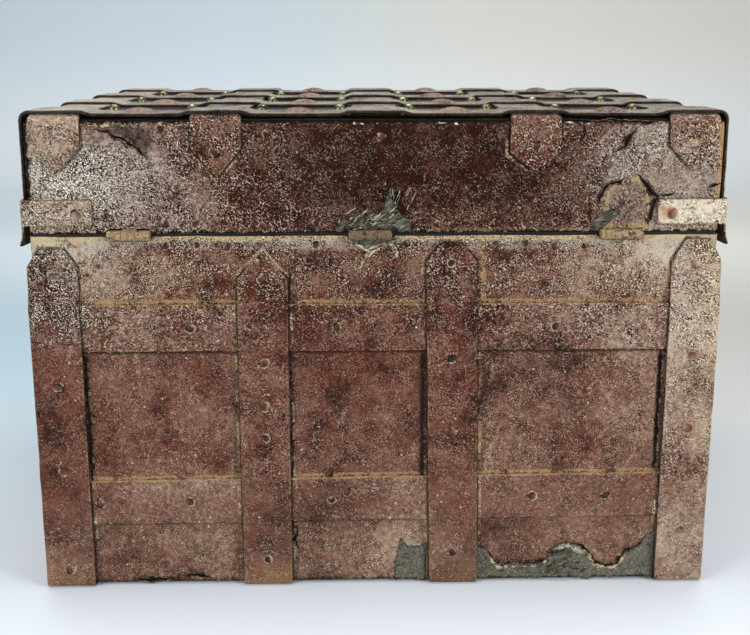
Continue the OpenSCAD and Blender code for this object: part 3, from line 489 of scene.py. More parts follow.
def hide_marks(f, p, colour):
    """Dirt along straps and bands, painted shadow in the gaps beside straps, under the bands and at the
    foot, and wear at the corners and the joint.
    """
    x, z, wx, wz = p.x, p.z, p.wx, p.wz
    if colour is None:
        p.calm = x.size().ramp(225, 290) * z.ramp(315, 355)
        shy = between(x, -90, 60, 30) * between(z, 200, 320, 30) * 0.16
        shy = shy + x.ramp(-140, -170) * between(z, 125, 260, 20) * 0.06 - x.ramp(100, 130) * 0.05
        shy = shy + x.ramp(60, 110) * z.ramp(90, 60) * 0.09
        return (x.size().ramp(120, 330) * z.ramp(230, 370) * 0.25 + z.ramp(90, 45) * 0.12
                + x.ramp(230, 300) * z.ramp(300, 370) * 0.2
                + between(x, -90, 50, 8) * z.ramp(80, 68) * 0.07 - shy)
    on_back = p.on_back
    low_edge = wz - x * BAND_CLIMB
    dirt = (crease(wz, UPPER_TOP, 1.9, 2.6).most(crease(low_edge, LOWER_TOP, 1.7, 2.2) * 0.9)
            * (p.blotch + 0.18).ramp(0.4, 0.72))
    dirt = dirt.most(crease(wx, -297.0, 1.8) * between(z, 255, 376) * 0.8)
    dirt = dirt.most(crease(wx, 108.5, 3.6) * between(z, 150, 372) * p.blotch.ramp(0.35, 0.55) * 0.8)
    dirt = (dirt + p.fuzz * 1.4 + p.grain * 0.4).ramp(0.35, 1.0) * 0.75
    corner = x.size().ramp(225, 320) * z.ramp(320, 366) * 0.85
    colour = f.blend(colour, paint(190, 180, 163), corner * (p.blotch + p.fuzz).ramp(0.25, 0.6))
    lip = (wz + p.blotch * 6).ramp(375.0, 379.5) * (p.grain + 1).ramp(0.6, 0.9)
    colour = f.blend(colour, paint(180, 160, 126), lip * 0.9)
    strip = between(wz, 366, 376, 1.5) * (p.blotch + p.grain * 0.5).ramp(0.3, 0.7) * 0.6
    colour = f.blend(colour, paint(160, 152, 138), strip)
    drips = f.noise(13, 3.0, 0.6, f.stretched((1.0, 1.0, 0.07))).ramp(0.60, 0.72)
    colour = f.blend(colour, CREAM, drips * p.blotch.ramp(0.4, 0.6) * 0.3)
    colour = f.blend(colour, OCHRE, dirt * on_back)
    frayed = crease(wx, 119.5, 1.4, 3.0) * between(z, 130, 262, 10) * p.blotch.ramp(0.4, 0.6)
    frayed = frayed * (p.fuzz + p.grain * 0.4).ramp(-0.1, 0.12)
    colour = f.blend(colour, paint(158, 148, 118), frayed * on_back * 0.6)
    colour = f.blend(colour, RUST, crease(wx, 295.5, 1.3) * between(z, 262, 340) * on_back * 0.4)
    colour = edge_shadow_and_dashes(f, p, colour, beside_straps(p), on_back)
    # Painted shadow: black in the gaps beside the straps, under the bands' lower edges and along the foot.
    gap = crease(wx, -296.6, 0.9, 2.2) * between(z, 86, 258, 4)
    gap = gap.most(crease(wx, -87.6, 0.7, 1.8) * between(z, 60, 345) * (p.blotch * 1.4).ramp(0.3, 0.7))
    gap = gap.most(crease(wx, 48.5, 1.8, 3.6) * between(z, 76, 258, 4) * 0.92)
    gap = gap.most(crease(wx, 294.0, 2.0) * between(z, 128, 260, 3))
    gap = gap.most(crease(wz, UPPER_FOOT, 0.9, 1.4) * 0.8).most(wz.ramp(9, 3) * 0.8)
    gap = gap.most(crease(low_edge, LOWER_FOOT_EDGE, 0.9, 1.4) * 0.7)
    return f.blend(colour, SOOT_AND_SHADE, gap * on_back)


# %% Marks on the lid's leather
def lid_marks(f, p, colour):
    """Darker in the middle as painted reflection, pale ends partly as painted sheen, painted shadow and
    cream dirt round the tabs, ochre dirt at the lower edge and the right end, and painted shade along the
    rim, the end and the top.
    """
    x, z, wx, wz = p.x, p.z, p.wx, p.wz
    if colour is None:
        # The pale ends are partly painted sheen of the side lamps, and the darker middle is painted
        # reflection of a dark room.
        left = x.ramp(-205, -290) * (between(z, 415, 470, 26) * 0.16 + 0.1) + x.ramp(-80, -250) * 0.18
        right = x.ramp(130, 290) * 0.32
        centre = x.ramp(-150, -20) * x.ramp(250, 130)
        p.calm = (x.ramp(258, 278) * between(z, 424, 456, 12)
                  + between(x, -306, -262, 12) * z.ramp(466, 478)) * p.blotch.ramp(0.2, 0.4)
        here = p.y.ramp(-190, -235) * 0.5 + 0.5
        return ((left + right) * z.ramp(520, 470) - centre * 0.36 - p.calm * 0.1) * here
    on_back = p.on_back
    # Painted reflection: the middle of the back is darkened and glazed deeper red, where the lacquer
    # mirrors a dark room.
    deep = x.ramp(-190, -30) * x.ramp(270, 120) * (wz.ramp(395, 418) * 0.6 + 0.4)
    colour = f.shade(colour, 1 - deep * (on_back * 0.3 + 0.2))
    glaze = deep * (p.grain * 0.8 + p.fuzz * 1.6 + p.blotch - 0.5).ramp(0.2, -0.15)
    colour = f.blend(colour, paint(42, 15, 7), glaze * on_back * 0.8)
    # Painted sheen: near-white specks in a patch at the left end.
    painted_sheen = between(x, -326, -262, 24) * between(z, 415, 462, 18) * (p.grain + p.fuzz).ramp(0.0, 0.35)
    colour = f.blend(colour, paint(232, 227, 219), painted_sheen * on_back * 0.6)
    worn = x.ramp(215, 290) * z.ramp(500, 470) * p.blotch.ramp(0.3, 0.6)
    colour = f.blend(colour, paint(140, 122, 106), worn * 0.65)
    colour = edge_shadow_and_dashes(f, p, colour, beside_tabs(p), on_back)
    lip = crumbly(p, wz.ramp(390, 387) * x.ramp(20, 70).most(x.ramp(-275, -290)))
    colour = f.blend(colour, OCHRE, lip * (x.ramp(200, 260) * 0.4 + 0.4))
    seam = crumbly(p, crease(wx, 343, 2.2) * between(z, 417, 495))
    colour = f.blend(colour, paint(190, 146, 84), seam * on_back)
    # Painted shadow at the left end, under the top edge and at the lower edge; the top's leather between
    # the straps is darkened as painted shade.
    shadow = crease(wx, -343.5, 2.6) * between(z, 417, 498, 3)
    shadow = shadow.most(wz.ramp(491.5, 494)).most(wz.ramp(385.5, 384.0)) * on_back
    colour = f.shade(f.blend(colour, SOOT_AND_SHADE, shadow), 1 - z.ramp(497.0, 498.0) * 0.86)
    chip = crease(wz, 492.5, 0.5, 0.8) * f.noise(9, 2.0).ramp(0.58, 0.64) * on_back
    return f.blend(colour, paint(206, 202, 194), chip)


# %% Marks on bosses and straps
def boss_marks(f, p, colour):
    """Grey wear on the bosses, which are no paler in one place than in another."""
    if colour is None:
        return p.fuzz * 0
    return f.blend(colour, paint(122, 108, 96), (p.blotch + p.grain * 0.3).ramp(0.3, 0.6) * 0.8)


def strap_marks(f, p, colour):
    """Worn edges, ochre on the side that holds dirt, painted shadow in the gaps beside a strap and on its
    sides, and painted sheen and glints on some faces.
    """
    x, z, wx, wz = p.x, p.z, p.wx, p.wz
    if colour is None:
        age = f.tag("age") * (z.ramp(60, 330) * 0.6 + 0.4)
        tabs = z.ramp(381, 385)
        p.calm = (x.ramp(270, 290) * tabs * z.ramp(430, 420) + x.ramp(-270, -290) * z.ramp(455, 470)
                  + x.ramp(-290, -310) * z.ramp(270, 240) * 0.6
                  + x.size().ramp(290, 280) * z.ramp(140, 120) * 0.5)
        first = x.ramp(-260, -300) * (between(z, 320, 378, 30) * 0.3 + z.ramp(425, 440) * 0.24
                                      + between(z, 386, 420, 3) * 0.14 - between(z, 100, 260, 30) * 0.1)
        last = x.ramp(280, 310) * (between(z, 430, 475, 14) * 0.2 + z.ramp(455, 470) * 0.08
                                   - between(z, 100, 250, 30) * 0.06)
        middle = between(x, -90, 55, 8)
        bands = (x.ramp(100, 130) * 0.07 - middle * 0.17) * between(z, 262, 310, 4)
        bands = bands + middle * between(z, 76, 124, 4) * 0.07 - between(x, 120, 200) * tabs * 0.16
        return age + z.ramp(497, 500) * 0.04 + z.ramp(90, 45) * 0.1 + first + last + bands
    edge, line = f.tag("edge"), f.tag("line")
    rub = (edge + p.fuzz * 5).ramp(1.5, 0.5) * (p.blotch + p.fuzz).ramp(0.4, 0.58)
    colour = f.blend(colour, paint(164, 138, 104), rub * 0.6)
    # Painted reflection: the straps' faces on the lid's top are paler grey.
    top = z.ramp(500.5, 501.5) * (p.grain * 0.4 + p.blotch).ramp(0.4, 0.6)
    colour = f.blend(colour, paint(156, 156, 144), top * 0.7)
    on_back = p.on_back
    # Painted glints: the first strap's upper part is darkened and dotted with pale specks.
    painted_glint_zone = x.ramp(-260, -300) * between(z, 275, 385, 22) * on_back
    colour = f.shade(colour, 1 - painted_glint_zone * 0.3)
    colour = f.blend(colour, FROST_AND_SHEEN, painted_glint_zone * p.grain.ramp(0.05, 0.35) * 0.7)
    pale_side = wx.ramp(318, 348) * z.ramp(40, 200) * (p.grain * 0.6 + p.blotch).ramp(0.2, 0.7)
    colour = f.blend(colour, CREAM, pale_side * on_back * (z.ramp(200, 380) * 0.4 + 0.3))
    rim_tab = x.ramp(272, 290) * between(z, 386, 420, 3) * on_back
    worn = (p.fuzz * 1.4 + p.blotch + p.grain * 0.2).ramp(0.15, 0.6) * edge.ramp(0.3, 2.2)
    colour = f.blend(colour, paint(210, 199, 176), rim_tab * worn * 0.85)
    smear = crease(wx, 291, 3, 6) * crease(wz, 404, 4, 5) * rim_tab
    colour = f.blend(colour, RUST, smear * (p.grain * 0.5 + p.blotch).ramp(0.3, 0.6))
    colour = edge_shadow_and_dashes(f, p, colour, beside_straps(p), on_back * z.ramp(380, 376))
    foot = (wz + p.fuzz * 20).ramp(42, 8) * (between(x, -120, -60) * 0.3 + 0.16)
    colour = f.blend(colour, paint(150, 118, 80), foot)
    dirt = crumbly(p, (line + p.fuzz * 5).ramp(2.2, 0.4)) * (p.blotch + 0.1).ramp(0.3, 0.6)
    colour = f.blend(colour, OCHRE, dirt * 0.7)
    # Painted shade: black on the straps' sides and along their edges on the lid's top.
    lattice_edge_shade = z.ramp(498, 499) * edge.ramp(1.7, 1.0)
    border = edge.ramp(0.1, 0.02) * line.ramp(0.8, 1.8) * 0.92
    return f.blend(colour, SOOT_AND_SHADE, border.most(lattice_edge_shade * 0.85))


# %% The four lacquers
hide_finish = lacquer("hide_lacquer", hide_marks, 1.85, 0.95, 0.42, 0.42, pebble_size=1.4)
lid_finish = lacquer("lid_lacquer", lid_marks, 2.25, 1.3, 0.32, 0.4, FROST_AND_SHEEN, pebble_size=1.75)
strap_finish = lacquer("strap_lacquer", strap_marks, 2.1, 1.05, 0.36, 0.44, paint(172, 155, 136), 1.5)
boss_finish = lacquer("boss_lacquer", boss_marks, 1.0, 0.9, 0.4, 0.4)
print("leather finishes:", [m.name for m in bpy.data.materials if m.name.endswith("_lacquer")])

# %% [markdown]
# ## Iron, brass and pine
# The hinges carry an ochre patina, the drop handles are dark forged iron with rust in the corners,
# and the lock is dull steel. The studs are brass gone grey-green. One recipe makes them all from their
# colours. The boards inside are pine: long grain with darker late wood, and a century of dust.

# %% Metal recipes
def metal(name, bright, dull, rust, rust_share, rough, metallic=1.0):
    """Old metal: bright and dull patches, pits that hold soot, and rust on a share of it."""
    f = Finish(name)
    broad = f.noise(26, 4.0, 0.6)
    pits = f.noise(2.4, 3.0, 0.65)
    scale = f.noise(7, 3.0, 0.6)
    rusted = (broad * 0.6 + scale * 0.4).ramp(0.72 - rust_share * 0.45, 0.9 - rust_share * 0.45)
    colour = f.blend(bright, dull, scale)
    colour = f.blend(colour, rust, rusted)
    dirt = (pits + (scale - 0.5) * 1.2 + (broad - 0.5) * 0.8).ramp(0.47, 0.33)
    colour = f.blend(colour, SOOT_AND_SHADE, dirt * 0.8)
    colour = f.shade(colour, 0.1 + pits * 1.7)
    f.feed(Base_Color=colour, Roughness=rough + rusted * 0.3 + (pits - 0.5) * 0.2,
           Metallic=metallic - rusted * metallic * 0.9)
    f.bump(pits * 0.6 + scale * 0.4, 0.35)
    return f.material


hinge_finish = metal("hinge_patina", paint(180, 154, 114), paint(104, 82, 54), paint(126, 88, 52),
                     0.5, 0.5, 0.2)
middle_hinge_finish = metal("hinge_rust", paint(132, 106, 72), paint(52, 52, 40), paint(104, 66, 40),
                            0.42, 0.6, 0.1)
handle_finish = metal("handle_iron", paint(70, 62, 58), paint(44, 38, 36), paint(94, 52, 32), 0.45, 0.42)
lock_finish = metal("lock_steel", paint(104, 98, 90), paint(66, 60, 54), paint(104, 66, 42),
                    0.35, 0.62, 0.35)
brass_finish = metal("stud_brass", paint(150, 142, 100), paint(96, 104, 84), paint(88, 68, 44), 0.4, 0.35)


# %% Pine recipe
def pine(name, along):
    """Pine boards whose grain runs along one axis: 0, 1 or 2."""
    f = Finish(name)
    scale = [1.0, 1.0, 1.0]
    scale[along] = 0.06
    at = f.stretched(tuple(scale))
    rings = f.node("ShaderNodeMath", {"operation": "SINE"}, {0: f.noise(15, 2.0, 0.45, at) * 46})
    fibres = f.noise(1.4, 3.0, 0.6, at)
    cloud = f.noise(120, 3.0)
    late = rings.ramp(0.2, 1.0)
    colour = f.blend(paint(176, 146, 108), paint(132, 98, 66), late * 0.7)
    colour = f.blend(colour, paint(104, 82, 62), cloud.ramp(0.45, 0.8) * 0.6)
    colour = f.shade(colour, 0.8 + fibres * 0.4)
    x, y, _ = f.axes()
    outer = (x.size() - HIDE_X).most(y.size() - HIDE_Y).ramp(-12, -8)
    colour = f.blend(colour, SOOT_AND_SHADE, outer)
    f.feed(Base_Color=colour, Roughness=0.62 + (fibres - 0.5) * 0.2)
    f.bump(fibres * 0.6 + late * 0.4, 0.25)
    return f.material


pine_long = pine("pine_along_width", 0)
pine_deep = pine("pine_along_depth", 1)
print("finishes so far:", len(bpy.data.materials))

# %% [markdown]
# ## Finishes on the model
# Every node of the model gets a finish, also those that a dressed piece will stand for. The first
# word of the list that is in a node's name decides.

# %% Finishes on the nodes of the model
NAME_FINISH = [("left_board", pine_deep), ("right_board", pine_deep), ("board", pine_long),
               ("body_leather", hide_finish), ("lid_leather", lid_finish), ("brass_studs", brass_finish),
               ("lid_bosses", boss_finish), ("middle_hinge", middle_hinge_finish),
               ("hinge", hinge_finish), ("handle", handle_finish), ("bail", handle_finish),
               ("lock", lock_finish), ("escutcheon", handle_finish), ("strap", strap_finish),
               ("band", strap_finish), ("nails", handle_finish), ("tacks", handle_finish)]

for node_name, node_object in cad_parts.items():
    found = next(finish for word, finish in NAME_FINISH if word in node_name)
    node_object.data.materials.clear()
    node_object.data.materials.append(found)

# %% [markdown]
# ## Smooth random relief
# Old leather and hand-cut iron are never quite straight. The small function below gives smooth
# random heights from a lattice of fixed numbers. It is the same at every run, and it works on
# thousands of points at once.

# %% Relief
MIXERS = np.array([73856093, 19349663, 83492791])
SEED_MIXER, LAST_MIXER = 2654435, 1274126177
LATTICE_SHIFT, SEED_SHIFT = 61.3, 7.7
SIXTEEN_BITS = 0xFFFF


def lattice(points, size, seed):
    """Smooth random heights from -1 to 1, with bumps about size millimetres apart."""
    at = points / size + LATTICE_SHIFT + seed * SEED_SHIFT
    cell = np.floor(at).astype(np.int64)
    part = at - cell
    part = part * part * (3 - 2 * part)
    height = np.zeros(len(points))
    for corner in range(8):
        step = np.array([corner & 1, corner >> 1 & 1, corner >> 2 & 1])
        key = (cell + step) @ MIXERS + seed * SEED_MIXER
        key = (key ^ (key >> 13)) * LAST_MIXER
        value = ((key ^ (key >> 16)) & SIXTEEN_BITS) / (SIXTEEN_BITS / 2) - 1
        height += value * np.prod(np.where(step == 1, part, 1 - part), axis=1)
    return height


def relief(points, size, seed, octaves=2):
    """Several layers of the lattice, each half as large and half as strong."""
    points = np.asarray(points, float)
    return sum(lattice(points, size / 2 ** k, seed + k) / 2 ** k for k in range(octaves))


# %% [markdown]
# ## From points to a finished piece
# Every piece is first a list of points and faces, worked out in millimetres. One function makes the mesh,
# turns its faces outwards and keeps edges sharp where they are. Another says on which body the piece rides
# and which nodes of the model it stands for.

# %% From points to a finished piece
CREASE_ANGLE = math.radians(42)


def face_outwards(mesh, merge=0.0):
    """Turns all faces outwards, after joining points that are less than merge millimetres apart."""
    made = bmesh.new()
    made.from_mesh(mesh)
    if merge:
        bmesh.ops.remove_doubles(made, verts=made.verts, dist=merge * MM)
    bmesh.ops.recalc_face_normals(made, faces=made.faces)
    made.to_mesh(mesh)
    made.free()


def build(name, points, faces, finish, tags=None):
    """A mesh object from points in millimetres. Tags are values stored on its points."""
    mesh = bpy.data.meshes.new(name)
    mesh.from_pydata((np.asarray(points) * MM).tolist(), [], [list(map(int, f)) for f in faces])
    for key, values in (tags or {}).items():
        layer = mesh.attributes.new(key, "FLOAT", "POINT")
        layer.data.foreach_set("value", np.asarray(values, np.float32))
    face_outwards(mesh)
    mesh.shade_smooth()
    mesh.set_sharp_from_angle(angle=CREASE_ANGLE)
    mesh.materials.append(finish)
    return linked(name, mesh)


def apply_modifiers(piece, sharp):
    """Turns what the modifiers make into the piece's plain mesh, with sharp edges from an angle on."""
    shaped = piece.evaluated_get(bpy.context.evaluated_depsgraph_get())
    plain = bpy.data.meshes.new_from_object(shaped)
    piece.modifiers.clear()
    piece.data = plain
    plain.shade_smooth()
    plain.set_sharp_from_angle(angle=sharp)


def place(piece, body, slot, *nodes):
    """The piece rides on a body and stands for some nodes. slot is not used."""
    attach(piece, body)
    if nodes:
        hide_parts(*nodes)
    return piece


# %% [markdown]
# ## Straps
# A strap is a long plate that is bent in one plane. So it is drawn as a path of its outer face, seen
# from the side, and a cross-section with softened edges is carried along that path. The strap's two
# sides come from a function of the length, which cuts the tips and lets the edges waver. Each point
# stores its distance to the nearest edge, for the worn rim of the lacquer.

# %% A path with rounded bends
PATH_STEP, ARC_STEPS = 6.0, 7


def bent_path(corners):
    """Points along a flat line through corners (u, v, radius), with arcs at the bends."""
    points = [np.array(corners[0][:2], float)]
    for before, (u, v, radius), after in zip(corners, corners[1:], corners[2:]):
        here = np.array([u, v], float)
        into = here - np.array(before[:2], float)
        out = np.array(after[:2], float) - here
        into, out = into / np.linalg.norm(into), out / np.linalg.norm(out)
        turn = math.acos(max(-1.0, min(1.0, float(into @ out))))
        if radius <= 0 or turn < 0.01:
            points.append(here)
            continue
        cut = radius * math.tan(turn / 2)
        start, side = here - into * cut, np.array([-into[1], into[0]])
        side = side if side @ out > 0 else -side
        centre = start + side * radius
        for k in range(ARC_STEPS + 1):
            a = turn * k / ARC_STEPS
            points.append(centre + radius * (into * math.sin(a) - side * math.cos(a)))
    points.append(np.array(corners[-1][:2], float))
    filled = [points[0]]
    for a, b in zip(points, points[1:]):
        count = max(1, int(np.linalg.norm(b - a) / PATH_STEP))
        filled += [a + (b - a) * (k + 1) / count for k in range(count)]
    return np.array(filled)


def path_length(path):
    """The whole length of a path."""
    return float(np.linalg.norm(np.diff(path, axis=0), axis=1).sum())


# %% A plate carried along a path
EDGE_ROUND = 1.1
EDGE_STEPS = [0.0, 0.12, 0.4, 1.0, 3.0]
INNER_COLUMNS = 6
EDGE_WAVER, WAVER_SIZE = 0.35, 22
DENT_SIZE = 26
FAR = 99.0
X_AXIS, Y_AXIS, Z_AXIS = (1, 0, 0), (0, 1, 0), (0, 0, 1)
UPRIGHT = (Y_AXIS, Z_AXIS, X_AXIS)
LYING = (X_AXIS, Z_AXIS, Y_AXIS)
ROUND = (X_AXIS, Y_AXIS, Z_AXIS)


def plate(name, path, origin, axes, sides, seed, closed=False, dent=0.25, age=0.0, lined=False):
    """A strap. path holds (u, v) of its outer face, axes the directions of u, v and the width.

    sides gives its two borders at a length along the path. age makes the lacquer paler, and lined
    says that dirt lies along the strap's high side."""
    u_axis, v_axis, across = (np.array(a, float) for a in axes)
    ahead = np.roll(path, -1, 0) - np.roll(path, 1, 0)
    if not closed:
        ahead[0], ahead[-1] = path[1] - path[0], path[-1] - path[-2]
    ahead /= np.linalg.norm(ahead, axis=1)[:, None]
    out = ahead[:, [1]] * u_axis - ahead[:, [0]] * v_axis
    spine = np.array(origin, float) + path[:, [0]] * u_axis + path[:, [1]] * v_axis
    length = np.concatenate([[0], np.cumsum(np.linalg.norm(np.diff(path, axis=0), axis=1))])
    reach = np.array([sides(s, p) for s, p in zip(length, spine)], float)
    reach[:, 0] += EDGE_WAVER * relief(spine + 40, WAVER_SIZE, seed)
    reach[:, 1] += EDGE_WAVER * relief(spine - 40, WAVER_SIZE, seed + 5)
    ends = np.full(len(path), FAR) if closed else np.minimum(length, length[-1] - length)
    columns, drops = [], []
    width = reach[:, 1] - reach[:, 0]
    room = np.minimum(1.0, width / (3 * EDGE_STEPS[-1]))
    for d in EDGE_STEPS:
        gap = max(EDGE_ROUND - d, 0.0)
        columns.append(reach[:, 0] + d * room)
        drops.append(EDGE_ROUND - math.sqrt(max(EDGE_ROUND ** 2 - gap ** 2, 0.0)))
    first, last = reach[:, 0] + EDGE_STEPS[-1] * room, reach[:, 1] - EDGE_STEPS[-1] * room
    for k in range(1, INNER_COLUMNS):
        columns.append(first + (last - first) * k / INNER_COLUMNS)
        drops.append(0.0)
    for d, drop in list(zip(EDGE_STEPS, drops[:len(EDGE_STEPS)]))[::-1]:
        columns.append(reach[:, 1] - d * room)
        drops.append(drop)
    top = len(columns)
    columns += [reach[:, 1], (reach[:, 0] + reach[:, 1]) / 2, reach[:, 0]]
    drops += [STRAP] * 3
    points, edges, lines = [], [], []
    for k, (column, drop) in enumerate(zip(columns, drops)):
        at = spine + column[:, None] * across
        lift = -drop + (dent * relief(at, DENT_SIZE, seed + 9) if k < top else 0.0)
        near_end = np.clip(ends / EDGE_ROUND, 0, 1)
        lift = lift - (EDGE_ROUND * (1 - np.sqrt(1 - (1 - near_end) ** 2)) if k < top else 0.0)
        points.append(at + out * np.reshape(lift * np.ones(len(path)), (-1, 1)))
        inside = np.minimum(column - reach[:, 0], reach[:, 1] - column)
        edges.append(np.minimum(inside, ends) if k < top else np.zeros(len(path)))
        lines.append(reach[:, 1] - column if lined else np.full(len(path), FAR))
    ring, rows = len(columns), len(path)
    points = np.stack(points, 1).reshape(-1, 3)
    faces = []
    for r in range(rows if closed else rows - 1):
        a, b = r * ring, (r + 1) % rows * ring
        faces += [(a + c, b + c, b + (c + 1) % ring, a + (c + 1) % ring) for c in range(ring)]
    if not closed:
        faces += [list(range(ring)), list(range(len(points) - ring, len(points)))]
    tags = {"edge": np.stack(edges, 1).ravel(), "line": np.stack(lines, 1).ravel(),
            "age": np.full(len(points), age)}
    return build(name, points, faces, strap_finish, tags)


# %% [markdown]
# ## Upright straps of the body
# Each strap starts in a cut tip below the joint, lies on the leather, climbs over the two bands,
# turns under the body and comes up the front. Between the bands it stands clear of the leather, and
# the dark gap at its sides is a strong line of the photograph. The third strap leans a little, and
# its nails lean with it.

# %% Body straps
FRONT_TIP, FRONT_FLAT, FRONT_RISE = 362.0, 20, 20
BAND_TOP = span("upper_band")[1][2]
SEAT_RISE = 15.0
STEP_RUN = 12
STEP_BEND = 8
STRAP_AGE = [-0.04, -0.08, -0.1, 0.36]


def tip_half(distance, half, flat, rise):
    """Half the strap's width at a distance from its tip."""
    return flat / 2 + (half - flat / 2) * min(1.0, distance / rise)


def lean_shift(k, z):
    """How far a strap is off its upright at a height. Only one leans."""
    return LEAN_FOOT * (0.5 - z / BACK_TIP[k]) if k == LEANING else 0.0


def body_strap(k):
    """One upright strap, from its tip on the back, under the body, to its tip on the front."""
    near, far = HIDE_Y + STRAP, HIDE_Y + 2 * STRAP
    seat = BAND_TOP + SEAT_RISE
    step = seat - STEP_RUN
    bend = 2 * STRAP
    path = bent_path([(-near, BACK_TIP[k], 0), (-near, seat, STEP_BEND), (-far, step, STEP_BEND),
                      (-far, 0, bend), (far, 0, bend), (far, step, STEP_BEND),
                      (near, seat, STEP_BEND), (near, FRONT_TIP, 0)])
    total = path_length(path)

    def sides(s, p):
        back = tip_half(s, STRAP_HALF, TIP_FLAT[k], TIP_RISE[k])
        front = tip_half(total - s, STRAP_HALF, FRONT_FLAT, FRONT_RISE)
        half = min(back, front)
        shift = lean_shift(k, p[2]) if p[1] < 0 else 0.0
        return (shift - half, shift + half)

    strap = plate(f"worn_body_strap_{k + 1}", path, (STRAP_X[k], 0, 0), UPRIGHT, sides, 20 + 3 * k,
                  age=STRAP_AGE[k])
    place(strap, "chest", "lacquered_iron", f"body_strap_{k + 1}")


for strap_index in range(len(STRAP_X)):
    body_strap(strap_index)
print("body straps at", [round(x) for x in STRAP_X])

# %% [markdown]
# ## Bands round the body
# Two bands run round the body below the upright straps. Seen from behind, the lower one climbs a
# little to the right, as on the real chest, and comes back to level on the front.

# %% Girth bands
GIRTH_CORNER = 9


def band_rise(x, y):
    """How far the climbing band is above its level at a place of its round."""
    return BAND_CLIMB * x * (0.5 - y / (2 * HIDE_Y))


def girth_band(node, climbs, seed):
    """One band round the body, counter-clockwise seen from above."""
    low, high = span(node)
    x, y = HIDE_X + STRAP, HIDE_Y + STRAP
    corners = [(sx * x, sy * y, GIRTH_CORNER) for sx, sy in ((1, -1), (1, 1), (-1, 1), (-1, -1))]
    path = bent_path([(0, -y, 0)] + corners + [(0, -y, 0)])[:-1]

    def sides(s, p):
        rise = band_rise(p[0], p[1]) if climbs else 0.0
        return (low[2] + rise, high[2] + rise)

    band = plate("worn_" + node, path, (0, 0, 0), ROUND, sides, seed, closed=True, age=0.04, lined=True)
    place(band, "chest", "lacquered_iron", node)


girth_band("upper_band", False, 41)
girth_band("lower_band", True, 47)
print("the lower band climbs", round(2 * HIDE_X * BAND_CLIMB, 1), "mm along the back")

# %% [markdown]
# ## Straps on the ends
# Each end has two short straps, which step over the two bands like the upright ones.

# %% End straps
END_HALF, END_TIP, END_FLAT, END_RISE = 24.0, 362.0, 16, 18
END_FOOT = span("right_end_straps")[0][2]
STEP_FOOT = span("lower_band")[0][2] - 3
END_Y = span("right_end_straps")[1][1] - END_HALF


def end_strap(side, y, seed):
    """One short strap on the left (side -1) or right end (side 1)."""
    near, far = HIDE_X + STRAP, HIDE_X + 2 * STRAP
    seat = BAND_TOP + SEAT_RISE
    path = bent_path([(near, END_FOOT, 0), (near, STEP_FOOT - STEP_RUN, STEP_BEND),
                      (far, STEP_FOOT, STEP_BEND),
                      (far, seat - STEP_RUN, STEP_BEND), (near, seat, STEP_BEND), (near, END_TIP, 0)])
    total = path_length(path)

    def sides(s, p):
        half = tip_half(total - s, END_HALF, END_FLAT, END_RISE)
        return (-half, half)

    return plate(f"worn_end_strap_{seed}", path, (0, y, 0), ((side, 0, 0), Z_AXIS, Y_AXIS), sides, seed)


def joined(pieces, name):
    """Several mesh pieces made one."""
    with bpy.context.temp_override(active_object=pieces[0], selected_editable_objects=pieces,
                                   selected_objects=pieces, object=pieces[0]):
        bpy.ops.object.join()
    pieces[0].name = name
    return pieces[0]


for side, word in ((-1, "left"), (1, "right")):
    pair = [end_strap(side, y, 50 + side + 5 * k) for k, y in enumerate((-END_Y, END_Y))]
    place(joined(pair, f"worn_{word}_end_straps"), "chest", "lacquered_iron", f"{word}_end_straps")
print("end straps at", round(-END_Y), "and", round(END_Y))

# %% [markdown]
# ## Cross straps of the lid
# Five straps cross the lid from front to back. Four of them end on the back in a tab that is cut to
# a point, each a little different. The middle one stops at the edge of the top.

# %% Cross straps
LID_EDGE = 10.0


def cross_strap(k):
    """One cross strap, from its foot on the lid's front to its tab on the back, if it has one."""
    face = HIDE_Y + STRAP
    bend = LID_EDGE + STRAP
    corners = [(face, lid_low[2], 0), (face, LID_STRAP_TOP, bend)]
    if TAB_DROP[k]:
        corners += [(-face, LID_STRAP_TOP, bend), (-face, LID_STRAP_TOP - TAB_DROP[k], 0)]
    else:
        corners += [(-HIDE_Y + LID_EDGE, LID_STRAP_TOP, 0)]
    path = bent_path(corners)
    total = path_length(path)

    def sides(s, p):
        half = LID_HALF
        if TAB_DROP[k]:
            half = tip_half(total - s, LID_HALF, TAB_FLAT[k], TAB_RISE[k])
        return (-half, half)

    strap = plate(f"worn_cross_strap_{k + 1}", path, (CROSS_X[k], 0, 0), UPRIGHT, sides, 70 + 4 * k)
    place(strap, "lid", "lacquered_iron", f"cross_strap_{k + 1}")


for strap_index in range(len(CROSS_X)):
    cross_strap(strap_index)
print("cross straps at", [round(x) for x in CROSS_X])

# %% [markdown]
# ## Long straps of the lid
# Four long straps lie over the cross straps. They are forced down between them, so each has a wave,
# and they bend down the lid's ends and go in under the rim band.

# %% Long straps
LONG_Y = middles("long_strap", 4, axis=1)
LONG_X = span("long_strap_1")[1][0]
CLIMB_RUN = 12.0
LONG_BEND = 10
WAVE_REACH = LONG_X - 14
WAVE_POINTS = 169


def crossing_rise(x):
    """How high a long strap stands over the leather's level at x, because of a cross strap."""
    gap = min(abs(x - c) for c in CROSS_X) - LID_HALF
    outside = abs(x) > max(CROSS_X)
    if gap <= 0 or outside:
        return STRAP
    return STRAP * (0.5 + 0.5 * math.cos(math.pi * min(1.0, gap / CLIMB_RUN)))


